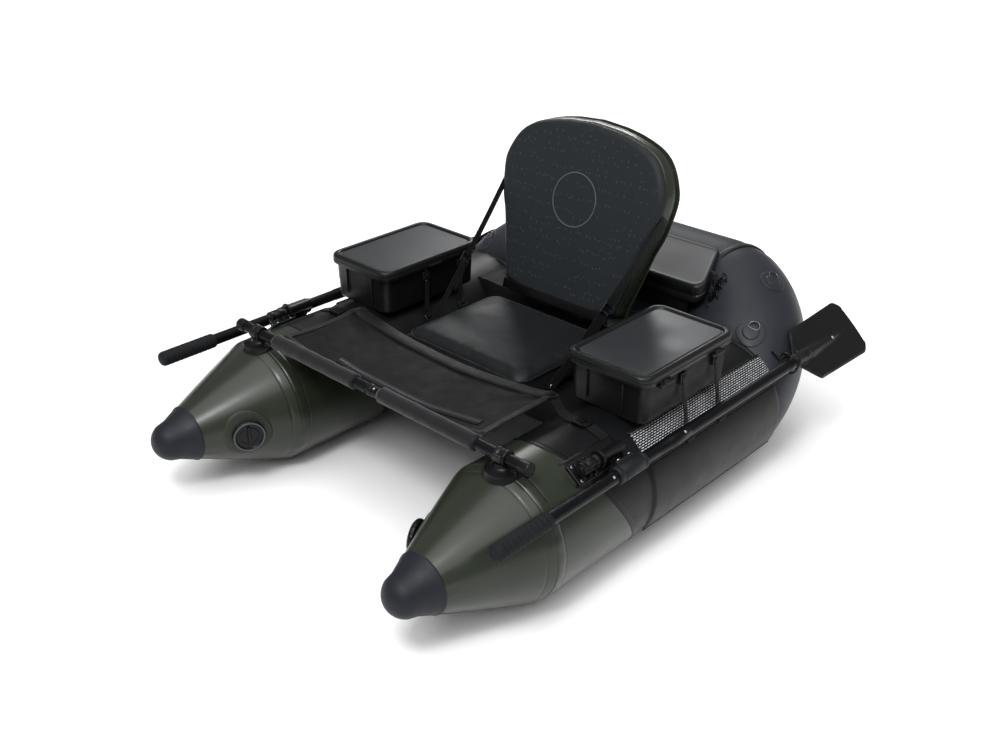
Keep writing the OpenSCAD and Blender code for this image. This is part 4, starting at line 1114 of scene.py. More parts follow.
# ---------------------------------------------------------------- cushions by simulation
def puff(o, pressure=4.0, cap=8.0, voxel=6.0, frames=20):
    """Blows a closed form up as cloth, keeps it near its first shape, and applies the result."""
    sc = bpy.context.scene
    bpy.ops.object.select_all(action="DESELECT")
    bpy.context.view_layer.objects.active = o
    o.select_set(True)
    r = o.modifiers.new("remesh", "REMESH")
    r.mode = "VOXEL"
    r.voxel_size = voxel * MM
    r.use_smooth_shade = True
    bpy.ops.object.modifier_apply(modifier=r.name)
    start = [v.co.copy() for v in o.data.vertices]
    c = o.modifiers.new("cloth", "CLOTH")
    st = c.settings
    st.quality = 5
    st.mass = 0.3
    st.use_pressure = True
    st.uniform_pressure_force = pressure
    st.effector_weights.gravity = 0
    st.tension_stiffness = 25
    st.compression_stiffness = 25
    st.bending_stiffness = 0.6
    c.collision_settings.use_collision = False
    sc.frame_start, sc.frame_end = 1, frames
    for f in range(1, frames + 1):
        sc.frame_set(f)
    dg = bpy.context.evaluated_depsgraph_get()
    ev = o.evaluated_get(dg).to_mesh()
    moved = [v.co.copy() for v in ev.vertices]
    o.evaluated_get(dg).to_mesh_clear()
    o.modifiers.remove(c)
    sc.frame_set(1)
    for v, a, b in zip(o.data.vertices, start, moved):
        d = b - a
        if d.length > cap * MM:
            d = d * (cap * MM / d.length)
        v.co = a + d
    o.data.update()


def build_seat():
    x, y0, y1, z0 = 200.0, -165.0, 167.0, 249.0
    c = rect(-x + 6, y0 + 6, x - 6, y1 - 4)
    steps = [(14, 4, 24), (4, 7, 28), (0, 14, 30), (-1.5, 28, 32), (-1, 44, 32), (3, 58, 32),
             (12, 68, 30), (26, 74, 28), (60, 76, 20)]
    rings = shell_rings(c, steps, lambda a, b: z0, 10)
    for k in (0.8, 0.6, 0.4, 0.2, 0.08):
        rings.append([(q[0] * k, 1 + (q[1] - 1) * k, z0 + 77.2 - 1.2 * k) for q in rings[8]])
    o = piece("seat_pad", *loft(rings), "seat", "hull", ["seat_cushion"], "seat_fabric")
    puff(o, 3.0, 3.0, 7.0, 16)
    for vert in o.data.vertices:
        vert.co.z = min(vert.co.z, 0.3305)
        vert.co.x = max(-0.2035, min(0.2035, vert.co.x))
        vert.co.y = max(-0.168, min(0.1685, vert.co.y))
    s = o.modifiers.new("sub", "SUBSURF")
    s.levels = s.render_levels = 1
    # piping round the cushion's top edge
    ring = round_corners(c, 2.5, 32, 12)
    pts = [(a, b, z0 + 59) for a, b in ring]
    piece("seat_piping", *path_tube(pts, 2.2, 8, closed=True), "hem", "hull")


build_seat()


# ---------------------------------------------------------------- backrest
BACK = (0.0, 170.0, 333.0)
LEAN = rad(15)
BACK_X = np.array([1.0, 0, 0])
BACK_V = np.array([0, sin(LEAN), cos(LEAN)])
BACK_N = np.array([0, -cos(LEAN), sin(LEAN)])
ROWS = [(0, 0.33), (0.05, 0.69), (0.094, 0.722), (0.226, 0.794), (0.409, 0.881), (0.516, 0.952),
        (0.667, 1.0), (0.753, 0.984), (0.86, 0.881), (0.925, 0.734), (0.968, 0.496), (0.992, 0.25)]


def on_back(x, v, n):
    return tuple(np.array(BACK) + BACK_X * x + BACK_V * v + BACK_N * n)


def outline(w, h, v0=0.0, k=5):
    def at(i):
        return np.array(ROWS[max(0, min(len(ROWS) - 1, i))])
    right = []
    for i in range(len(ROWS) - 1):
        for j in range(k):
            t = j / k
            p, q, r, u = at(i - 1), at(i), at(i + 1), at(i + 2)
            m = 0.5 * (2 * q + (r - p) * t + (2 * p - 5 * q + 4 * r - u) * t * t
                       + (3 * q - p - 3 * r + u) * t ** 3)
            right.append((m[1] * w, v0 + m[0] * h))
    return right + [(0.0, v0 + h)] + [(-a, b) for a, b in reversed(right)]


def inset_loop(loop, d):
    """Moves a closed counter-clockwise loop inwards by d along its normals."""
    n = len(loop)
    out = []
    for i in range(n):
        a, b, c = (np.array(loop[(i + k) % n]) for k in (-1, 0, 1))
        t = c - a
        t = t / (np.linalg.norm(t) + 1e-9)
        out.append(tuple(b + d * np.array([-t[1], t[0]])))
    return out


def resample(loop, n):
    p = [np.array(q) for q in loop] + [np.array(loop[0])]
    seg = [np.linalg.norm(p[i + 1] - p[i]) for i in range(len(p) - 1)]
    total = sum(seg)
    out, k, acc = [], 0, 0.0
    for i in range(n):
        target = total * i / n
        while acc + seg[k] < target:
            acc += seg[k]
            k += 1
        t = (target - acc) / max(seg[k], 1e-9)
        out.append(tuple(p[k] * (1 - t) + p[k + 1] * t))
    return out


def build_backrest():
    base = resample(outline(252, 465), 140)
    steps = []
    t = 60
    for k in range(7):
        a = k / 6 * pi / 2
        steps.append((16 * (1 - sin(a)), -10 - 16 * (1 - cos(a))))
    steps = [(150, -10.0), (90, -10.0), (45, -10.0), (24, -10.0)] + steps
    steps += [(-2.0, -34), (-2.2, -42)]
    for k in range(7):
        a = pi / 2 - k / 6 * pi / 2
        steps.append((20 * (1 - sin(a)), -10 - t + 20 * (1 - cos(a))))
    steps += [(30, -70.6), (60, -72), (100, -73), (150, -73.4)]
    rings = []
    for d, n in steps:
        loop = inset_loop(base, min(d, 12))
        if d > 12:
            cx, cv = 0, 240
            k = 1 - (d - 12) / 235
            loop = [(cx + (x - cx) * k, cv + (v - cv) * k) for x, v in loop]
        rings.append([on_back(x, v, n) for x, v in loop])
    v, f = loft(rings)
    body = piece("backrest_shell", v, f, "olive", "backrest", ["backrest_body"], "olive_pvc")
    # welded seam round the side wall
    for k, n in ((1, -58.0),):
        d = -2.0 if k == 0 else -0.6
        pts = [on_back(x, v, n) for x, v in inset_loop(base, d)]
        piece(f"backrest_seam_{k}", *path_tube(pts, 0, 10, closed=True, flat=(12, 1.4),
                                               up=tuple(BACK_N)), "olive", "backrest")
    # foam pad with a bevelled edge
    ib = resample(outline(249.5, 456, 4), 140)
    rings, mats = [], []
    steps = [(1, -20), (0, -15), (0, -11.0), (1.2, -7.6), (9, -1.6), (13, -0.35), (16, 0.0),
             (24, 0.2),
             (50, 0.5), (80, 0.7), (110, 0.9), (140, 0.95), (170, 1.0), (195, 1.0), (213, 1.0)]
    for d, n in steps:
        loop = inset_loop(ib, min(d, 9))
        if d > 9:
            k = 1 - (d - 9) / 225
            loop = [(x * k, 240 + (v - 240) * k) for x, v in loop]
        rings.append([on_back(x, v, n) for x, v in loop])
    v, f = loft(rings)
    q = len(ib)
    mats = [1 if i < 5 * q else 0 for i in range(len(f) - 2)] + [0, 0]
    pad = piece("backrest_foam", v, f, ["eva", "eva_edge"], "backrest", ["backrest_pad"],
                "pad_foam", mat_of=mats)
    # black hem band along the bottom
    pts = [on_back(x, 13 + 4 * (x / 180) ** 4, 1.4) for x in range(-172, 173, 8)]
    piece("backrest_hem", *path_tube(pts, 0, 14, flat=(26, 3.2), up=tuple(BACK_N)), "gloss",
          "backrest")
    # plain round badge: a thin ring
    parts = []
    ring = [on_back(66 * cos(2 * pi * i / 96), 272 + 66 * sin(2 * pi * i / 96),
                    1.5) for i in range(96)]
    parts.append(path_tube(ring, 0, 8, closed=True, flat=(3.2, 1.0), up=tuple(BACK_N)))
    piece("badge_ring", *merge(parts), "print", "backrest", ["backrest_badge"], "badge_vinyl")


build_backrest()


def build_back_straps():
    for s in (-1, 1):
        tag = side_name(s)
        top = np.array(on_back(251, 285, -30))
        mid = np.array((226, 62, 468.0))
        low = np.array((207, -80, 268.0))
        mid = top + (low - top) * 0.52 + np.array([0, 0, -6.0])
        parts = []
        up = (1, 0, 0.25)
        pts = [tuple(top + (mid - top) * i / 16 + np.array([0, 0,
                                                            -4.0 * sin(pi * i / 16)])) for i in range(17)]
        parts.append(path_tube(pts, 0, 12, flat=(25, 2.0), up=up))
        pts = [tuple(mid + (low - mid) * i / 16 + np.array([0, 0,
                                                            -3.0 * sin(pi * i / 16)])) for i in range(17)]
        parts.append(path_tube(pts, 0, 12, flat=(25, 2.0), up=up))
        # loose tail under the buckle
        tail = mid + (low - mid) * 0.34 + np.array([0, 6, -16.0])
        pts = [tuple(mid * (1 - t) + tail * t + np.array([0, 0, -5 * sin(pi * t)])) for t in
               [i / 10 for i in range(11)]]
        parts.append(path_tube(pts, 0, 12, flat=(24, 1.8), up=up))
        v, f = merge(parts)
        v, f = sided(s, v, f)
        o = piece(f"back_strap_{tag}", v, f, "webbing", None, [f"backrest_strap_{tag}"], "webbing")
        d = (low - top) / np.linalg.norm(low - top)
        side = np.array([1, 0, 0.0])
        side = side - d * side.dot(d)
        side = side / np.linalg.norm(side)
        wd = np.cross(d, side)
        parts = [block(*(mid + side * 1.0 + wd * 15.5), 4, 3, 30, 1.2, axes=[side, wd, d]),
                 block(*(mid + side * 1.0 - wd * 15.5), 4, 3, 30, 1.2, axes=[side, wd, d])]
        for k in (-13, -2, 9):
            parts.append(block(*(mid + side * 1.5 + d * k), 4.5, 32, 3.4, 1.3, axes=[side, wd, d]))
        v, f = sided(s, *merge(parts))
        b = piece(f"back_buckle_{tag}", v, f, "hard", None, ["strap_adjusters"] if s > 0 else [],
                  sharp=50)
        v, f = lathe([(0.1, 3.2), (4, 2.8), (6.2, 1.6), (6.6, 0)], tuple(low + d * -12),
                     tuple(side), 20)
        v, f = sided(s, v, f)
        piece(f"strap_rivet_{tag}", v, f, "steel", "hull", ["strap_rivets"] if s > 0 else [])
        for q in (o, b):
            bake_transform(q)


build_back_straps()


# ---------------------------------------------------------------- side boxes
BX0, BX1, BY0, BY1 = 288.5, 511.5, -132.0, 207.0
HOOK_Y = (10.4, 132.4)
BOX_HINGE_X = 516.1
KNUCKLE = [(0.4, -7.6), (3.2, -7.6), (4.0, -6.8), (4.0, 6.8), (3.2, 7.6), (0.4, 7.6)]


def build_side_box(s):
    tag = side_name(s)
    plan = rect(BX0, BY0, BX1, BY1)
    flat = lambda x, y: 0.0
    steps = [(60, 306, 6), (20, 306, 18), (15.5, 307, 22), (12.8, 310, 25), (12.0, 315, 26),
             (10.6, 352, 27),
             (10.1, 356, 27), (9.4, 392, 28), (8.2, 394, 28), (8.2, 399, 28), (8.2, 416, 28), (9.2, 417, 27),
             (11.4, 416.8, 26), (11.8, 404, 26), (14.2, 330, 24), (17, 317, 21), (24, 313.6, 18), (60, 313, 8)]
    v, f = loft(shell_rings(plan, steps, flat, 7))
    parts = [(v, f)]
    # moulded hook loops on both long sides
    for y in HOOK_Y:
        for x, k in ((503.4, 1), (296.6, -1)):
            c = x - k * 0.4
            for dy in (-9.5, 9.5):
                parts.append(block(c + k * 2.4, y + dy, 378, 6.5, 3.6, 26, 1.4))
            parts.append(block(c + k * 4.6, y, 389, 3.4, 22, 4.4, 1.4))
    # moulded stop ribs at the ends
    for y, k in ((BY0 + 9.0, -1), (BY1 - 9.0, 1)):
        for x in (352, 448):
            parts.append(block(x, y + k * 0.8, 360, 3.5, 4, 66, 1.3))
    # hinge knuckles of the body
    for fy in (0.2, 0.76):
        y = BY0 + fy * 339
        for k in (-1, 1):
            parts.append(lathe(KNUCKLE, (BOX_HINGE_X, y + k * 16, 398), (0, 1, 0), 18))
            parts.append(block(509.5, y + k * 16, 396, 13, 14, 4, 1.2))
    v, f = sided(s, *merge(parts))
    piece(f"box_body_{tag}", v, f, "box", "hull", [f"side_box_{tag}"], "box_plastic", sharp=38)
    # lid: padded rim round a recessed pale panel
    steps = [(60, 418.6, 6), (20, 418.6, 20), (9.0, 417.8, 27), (7.8, 415, 28), (7.4, 402, 28),
             (6.6, 400.2, 28),
             (3.0, 400, 30), (1.2, 400.8, 31), (0.5, 403, 31), (0.6, 409.5, 31), (1.7, 410.4, 31), (1.7, 411.6, 31),
             (0.7, 412.6, 31), (0.8, 417, 31), (1.8, 421, 30), (4.2, 423.9, 29), (7.6, 425.2, 27), (11.5, 425.4, 25),
             (14.6, 424.6, 23), (16.2, 422.8, 22), (16.9, 420.9, 21.5), (17.8, 420.2, 21), (19.4, 420.1, 20),
             (20.2, 420.9, 19.5), (21.4, 421.1, 19), (24, 421.1, 18), (60, 421.5, 8), (100, 421.8, 3)]
    rings = shell_rings(plan, steps, flat, 7)
    v, f = loft(rings)
    n = len(rings[0])
    mats = [1 if i >= 23 * n else 0 for i in range(len(f) - 2)] + [0, 1]
    parts = [(v, f)]
    for fy in (0.2, 0.76):
        y = BY0 + fy * 339
        parts.append(lathe(KNUCKLE, (BOX_HINGE_X, y, 398), (0, 1, 0), 18))
        parts.append(block(512.6, y, 402.6, 6.4, 14.6, 5.5, 1.4))
    parts.append(block(286.6, 37.5, 405.5, 6.6, 44, 5, 1.8))
    for k in (-14, -7, 0, 7, 14):
        parts.append(block(283.6, 37.5 + k, 405.5, 1.4, 2.6, 4.2, 0.6))
    extra = sum(len(q[1]) for q in parts[1:])
    v, f = sided(s, *merge(parts))
    piece(f"box_lid_{tag}", v, f, ["rim", "lid"], f"lid_{tag}", [f"side_box_lid_{tag}"],
          "lid_plastic",
          mat_of=mats + [0] * extra, sharp=40)


on_both_sides(build_side_box)


def build_box_straps():
    straps, hooks, wires = [], [], []
    for s in (-1, 1):
        for y in HOOK_Y:
            out = [(507.5, y, 384), (510.2, y, 368), (514.5, y, 335), (520.5, y, 296),
                   (527.8, y, 256), (530, y, 247)]
            inn = [(292.6, y, 384), (291.4, y, 366), (292.2, y, 330), (293.2, y, 296),
                   (293.8, y, 276), (291, y, 268)]
            for pts, ang, rr in ((out, 33, 160.6), (inn, 136, 157.4)):
                a = path_tube(curve_points(pts, 20), 0, 10, flat=(15, 2.2), up=(1, 0, 0.05))
                straps.append(sided(s, *a))
                k = 1 if ang < 90 else -1
                # wire hook through the moulded loop
                x = pts[0][0]
                ctrl = [(x + k * 1.2, y, 372), (x + k * 2.4, y, 382), (x + k * 0.6, y, 392.5),
                        (x - k * 1.6, y, 394.5), (x - k * 2.6, y, 388)]
                wires.append(sided(s, *path_tube(curve_points(ctrl, 16), 1.5, 8)))
                ctrl = [(x + k * 2, y - 7, 372), (x + k * 2, y + 7, 372), (x + k * 2.4, y + 8, 367),
                        (x + k * 2.4, y - 8, 367)]
                wires.append(sided(s, *path_tube(ctrl, 1.4, 8, closed=True)))
                # sewn anchor plate on the tube
                a = rad(ang)
                n = np.array((cos(a), 0, sin(a)))
                tn = np.array((-sin(a), 0, cos(a)))
                c = np.array((TX, y, TR)) + n * (rr + 1.6)
                g = [block(*(c + tn * 8.5), 26, 5, 4, 1.6, axes=[np.array((0, 1.0, 0)), tn, n]),
                     block(*(c - tn * 3), 26, 12, 4, 1.6, axes=[np.array((0, 1.0, 0)), tn, n])]
                for dy in (-11, 11):
                    g.append(block(*(c + tn * 3 + np.array((0, dy, 0))), 4, 14, 4, 1.4,
                                   axes=[np.array((0, 1.0, 0)), tn, n]))
                hooks.append(sided(s, *merge(g)))
    piece("box_webbing", *merge(straps), "webbing", "hull", ["box_straps"], "webbing")
    piece("box_anchor_plates", *merge(hooks), "hard", "hull", ["strap_hooks"], "hard_plastic",
          sharp=50)
    piece("box_wire_hooks", *merge(wires), "gloss", "hull")


build_box_straps()


# ---------------------------------------------------------------- rear box
def rear_z(y):
    return 400 + 45 * (y - 385) / 160


def build_rear_lid():
    plan = [(-300, 385), (300, 385), (240, 545), (-240, 545)]
    steps = [(60, -5.2, 0, 6), (20, -5.2, 0, 14), (7, -5.4, 0, 20), (5.4, -7, 0.1, 21),
             (5.0, 0, -0.9, 21),
             (3.6, 0, -0.99, 22), (1.4, 0, -0.98, 23), (0.2, 0, -0.9, 24), (0.0, 0, -0.62, 24), (1.3, 0, -0.58, 24),
             (1.3, 0, -0.53, 24), (0.0, 0, -0.48, 24), (0.2, -3, -0.05, 24), (1.6, -0.6, 0, 24), (4.4, 1.0, 0, 23),
             (7.0, 1.3, 0, 22), (10, 1.1, 0, 21), (12, 0.6, 0, 20), (14, 0.5, 0, 19), (40, 0.9, 0, 10),
             (70, 1.2, 0, 4)]
    rings = []
    for inset, dz, k, r in steps:
        loop = round_corners(plan, inset, max(0.3, r), 8)
        rings.append([(x, y, rear_z(y) + dz + k * lerp(46.0, 8.0,
                                                       min(1,
                                                           max(0, (y - 385) / 150)))) for x, y in loop])
    v, f = loft(rings)
    n = len(rings[0])
    mats = [1 if i >= 16 * n else 0 for i in range(len(f) - 2)] + [0, 1]
    piece("rear_lid_shell", v, f, ["rim", "lid_pale"], "rear_lid", ["rear_box_lid"], "lid_plastic",
          mat_of=mats, sharp=40)


build_rear_lid()
paint("rear_box", "box")


def build_rear_clutter():
    """Side-release buckle, webbing and the spare cord beside the rear box."""
    webs, bks, cords = [], [], []
    for s in (-1, 1):
        ctrl = [(276, 452, 424), (289, 449, 421), (295, 447, 408), (294, 446, 388), (286, 444, 366),
                (276, 436, 342)]
        webs.append(sided(s, *path_tube(curve_points(ctrl, 24), 0, 10, flat=(20, 2),
                                        up=(1, 0, 0.3))))
        ctrl = [(296, 430, 396), (302, 424, 380), (296, 414, 362), (306, 408, 348)]
        webs.append(sided(s, *path_tube(curve_points(ctrl, 18), 0, 10, flat=(18, 2),
                                        up=(1, 0.2, 0.3))))
        ax = [np.array((0.25, 0.97, 0.0)), np.array((0.1, -0.02, -0.99)),
              np.array((0.97, -0.25, 0.1))]
        ax = [q / np.linalg.norm(q) for q in ax]
        bks.append(sided(s, *ladder_buckle((299, 446, 396), ax, 24, 34)))
        bks.append(sided(s, *ladder_buckle((303, 424, 374), ax, 20, 28)))
        for q, (cx, cy, cz, r, ph) in enumerate(((306, 462, 392, 13, 0.2), (312, 440, 372, 15, 1.3),
                                                 (301, 470, 410, 9, 2.2))):
            ctrl = []
            for i in range(9):
                t = ph + i * 0.72
                ctrl.append((cx + 5 * sin(2.1 * t + q), cy + r * cos(t),
                             cz + r * 0.9 * sin(t)))
            cords.append(sided(s, *path_tube(curve_points(ctrl, 50), 2.0, 8)))
    piece("rear_box_webbing", *merge(webs), "webbing", "hull")
    piece("rear_box_buckles", *merge(bks), "gloss", "hull", sharp=50)
    piece("rear_lacing", *merge(cords), "gloss", "hull")


build_rear_clutter()


# ---------------------------------------------------------------- lashing patches and rings
def stern_surface(a, t, h):
    c, _, u, w = ring_frame(corner(a), corner_dir(a))
    return c + (TR + h) * (cos(t) * u + sin(t) * w)


def build_rings():
    discs, flaps, rings = [], [], []
    for s in (-1, 1):
        for a0, up in ((11.5, 75), (48, 69)):
            t0 = rad(up)
            step = np.linalg.norm(stern_surface(a0 + 0.5, t0, 0) - stern_surface(a0 - 0.5, t0, 0))

            def at(p, q, h):
                return stern_surface(a0 + p / step, t0 + q / TR, h)

            def disc(r, lift, edge):
                rr = []
                for rad_, h in ((r, -1.5), (r, lift * 0.4), (r - edge * 0.4, lift * 0.85),
                                (r - edge, lift),
                                (r * 0.7, lift + 0.3), (r * 0.4, lift + 0.5), (r * 0.08, lift + 0.6)):
                    rr.append([at(rad_ * cos(2 * pi * j / 48),
                                  rad_ * sin(2 * pi * j / 48), h)
                               for j in range(48)])
                return loft(rr)

            discs.append(sided(s, *disc(36, 1.9, 2.0)))
            flaps.append(sided(s, *disc(21, 4.4, 3.0)))
            pts = []
            for j in range(40):
                b = 2 * pi * j / 40
                x, y = 12.5 * cos(b), 12.5 * sin(b)
                x = max(x, -5.5)
                pts.append(at(x + 14, y, 5.2 + 1.6 * cos(b)))
            rings.append(sided(s, *path_tube(pts, 2.1, 10, closed=True)))
    piece("ring_patches", *merge(discs), "stern_patch", "hull", ["d_ring_patches"], "patch_pvc")
    piece("ring_flaps", *merge(flaps), "stern_patch", "hull")
    piece("ring_wires", *merge(rings), "ring_metal", "hull", ["d_rings"], "steel")


build_rings()


# ---------------------------------------------------------------- oarlocks
# The stowed oar runs along y at OAR_X, OAR_Z, and pivots at LOCK_Y
OAR_X, OAR_Z, LOCK_Y = 550, 279, -226


def build_oarlock(s):
    tag = side_name(s)
    y_axis = np.array((0, 1.0, 0))
    # welded pad that follows the tube
    a0, a1, y0, y1 = 45.5, 68.0, -340.0, -178.0
    na, ny = 18, 26
    v, f = [], []
    for lay, h0 in ((0, 0.2), (1, 3.2)):
        for i in range(ny + 1):
            for j in range(na + 1):
                u, w = i / ny, j / na
                e = min(u, 1 - u) * (y1 - y0)
                g = min(w, 1 - w) * rad(a1 - a0) * TR
                d = min(e, g, 9.0) / 9.0
                h = h0 if lay == 0 else 0.4 + 3.0 * sqrt(max(0.0, 1 - (1 - d) ** 2))
                t = rad(lerp(a0, a1, w))
                v.append((TX + (TR + h) * cos(t), lerp(y0, y1, u),
                          TR + (TR + h) * sin(t)))
    k = (ny + 1) * (na + 1)
    for i in range(ny):
        for j in range(na):
            q = i * (na + 1) + j
            f.append((q, q + 1, q + na + 2, q + na + 1))
            f.append((k + q, k + q + na + 1, k + q + na + 2, k + q + 1))
    edge = [j for j in range(na + 1)] + [i * (na + 1) + na for i in range(1, ny + 1)]
    edge += [ny * (na + 1) + j for j in range(na - 1, -1,
                                              -1)] + [i * (na + 1) for i in range(ny - 1, 0, -1)]
    for i in range(len(edge)):
        a, b = edge[i], edge[(i + 1) % len(edge)]
        f.append((a, b, b + k, a + k))
    pad = (v, f)
    ang = rad(54)
    n = np.array((cos(ang), 0, sin(ang)))
    tn = np.array((-sin(ang), 0, cos(ang)))
    base = np.array((TX, 0, TR))
    bc = base + n * 186
    parts = [pad]
    # foot plate with ribs and the barrel
    parts.append(block(*(base + n * 161 + y_axis * -306), 50, 62, 6, 2.4, axes=[tn, y_axis, n]))
    parts.append(block(*(base + n * 170 + y_axis * -306), 17, 46, 22, 3, axes=[tn, y_axis, n]))
    for k_ in (-18, 0, 18):
        parts.append(block(*(base + n * 168 + y_axis * (-306 + k_)), 40, 3.6, 14, 1.4,
                           axes=[tn, y_axis, n]))
    prof = [(8.2, -0.2), (12.0, -0.2), (13.6, 1.0), (13.9, 3), (13.9, 8), (13.0, 9), (13.0, 13),
            (13.9, 14),
            (13.9, 36), (13.0, 37), (13.0, 41), (13.9, 42), (13.9, 47), (13.2, 49.6), (12, 50), (8.2, 50)]
    parts.append(lathe(prof, tuple(bc + y_axis * -331), (0, 1, 0), 40))
    piece(f"oarlock_foot_{tag}", *sided(s, *merge(parts)), "hard", "hull", [f"oarlock_base_{tag}"],
          "hard_plastic", sharp=42)
    sc = []
    for a_, b_ in ((-17, -20), (17, -20), (-17, 20), (17, 20)):
        sc.append(lathe([(3.6, 0), (4.2, 0.6), (3.8, 2.0), (2.0, 2.6), (1.6, 1.4), (0.2, 1.4)],
                        tuple(base + n * 163.6 + tn * a_ + y_axis * (-306 + b_)), tuple(n), 16))
    piece(f"oarlock_screws_{tag}", *sided(s, *merge(sc)), "steel", "hull")
    # turning block: pin, flange, hub, arm and boss
    oa = math.atan2(124, 150)
    no = np.array((cos(oa), 0, sin(oa)))
    to = np.array((-sin(oa), 0, cos(oa)))
    foot = base + no * (172.6 - 6)
    parts = [lathe([(0.2, -334), (4, -334), (6.4, -333.4), (7.9, -331), (7.9, -278), (17.5, -278.8),
                    (19.2, -278.2),
                    (20, -276.6), (20, -274.6), (19, -273.2), (14.2, -272.8), (13, -271), (13, -206), (12.2, -203.4),
                    (10, -202.4), (5, -202.2), (4.2, -203.4), (0.2, -203.4)],
                   (bc[0], 0, bc[2]), (0, 1, 0), 40)]
    arm = foot - bc
    reach = np.linalg.norm(arm)
    ad = arm / reach
    an = np.cross(ad, y_axis)
    c = bc + arm * 0.55 + y_axis * LOCK_Y
    parts.append(block(*c, reach * 1.0, 40, 8, 3, axes=[ad, y_axis, an]))
    for k_ in (-15, 15):
        parts.append(block(*(bc + arm * 0.5 + y_axis * (LOCK_Y + k_) + an * 5), reach * 0.8, 4, 7,
                           1.5,
                           axes=[ad, y_axis, an]))
    parts.append(lathe([(0.2, 162), (12, 162), (14, 163.4), (14, 170.4), (13.2, 172.2), (6, 172.3),
                        (5.9, 179), (4, 180.2),
                        (0.2, 180.2)], tuple(base + y_axis * LOCK_Y), tuple(no), 32))
    piece(f"oarlock_arm_{tag}", *sided(s, *merge(parts)), "hard", f"oarlock_{tag}",
          [f"oarlock_block_{tag}"], "hard_plastic", sharp=42)
    # collar round the shaft
    col = lathe([(14.3, 0), (17.0, 0), (18.6, 1.0), (19.4, 3), (19.4, 9), (18.6, 10.2), (18.6, 13),
                 (19.4, 14.2),
                 (19.4, 75.8), (18.6, 77), (18.6, 79.8), (19.4, 81), (19.4, 87), (18.6, 89), (17.0, 90), (14.3, 90)],
                (OAR_X, -271, OAR_Z), (0, 1, 0), 48)
    boss = lathe([(6.3, 172.8), (10.8, 172.8), (12, 174), (12, 180), (11, 183)],
                 tuple(base + y_axis * LOCK_Y), tuple(no), 32)
    parts = [col, boss]
    for k_ in (-30, 30):
        parts.append(block(*(np.array((OAR_X, LOCK_Y + k_, OAR_Z)) - no * 19.0), 20, 5, 4, 1.5,
                           axes=[to, y_axis, no]))
    # lug and clamp screw on the far side of the collar
    parts.append(block(*(np.array((OAR_X, LOCK_Y, OAR_Z)) + to * 20.5), 10, 54, 9, 2.4,
                       axes=[no, y_axis, to]))
    piece(f"collar_{tag}", *sided(s, *merge(parts)), "grey", f"oar_swivel_{tag}",
          [f"oar_collar_{tag}"], "grey_plastic", sharp=42)
    sc = []
    for k_ in (-17, 17):
        sc.append(lathe([(4.2, 0), (4.8, 0.8), (4.6, 2.6), (3.4, 3.4), (2.6, 2.0), (0.2, 2.0)],
                        tuple(np.array((OAR_X, LOCK_Y + k_, OAR_Z)) + to * 24.8), tuple(to), 16))
    piece(f"collar_screws_{tag}", *sided(s, *merge(sc)), "steel", f"oar_swivel_{tag}")


on_both_sides(build_oarlock)


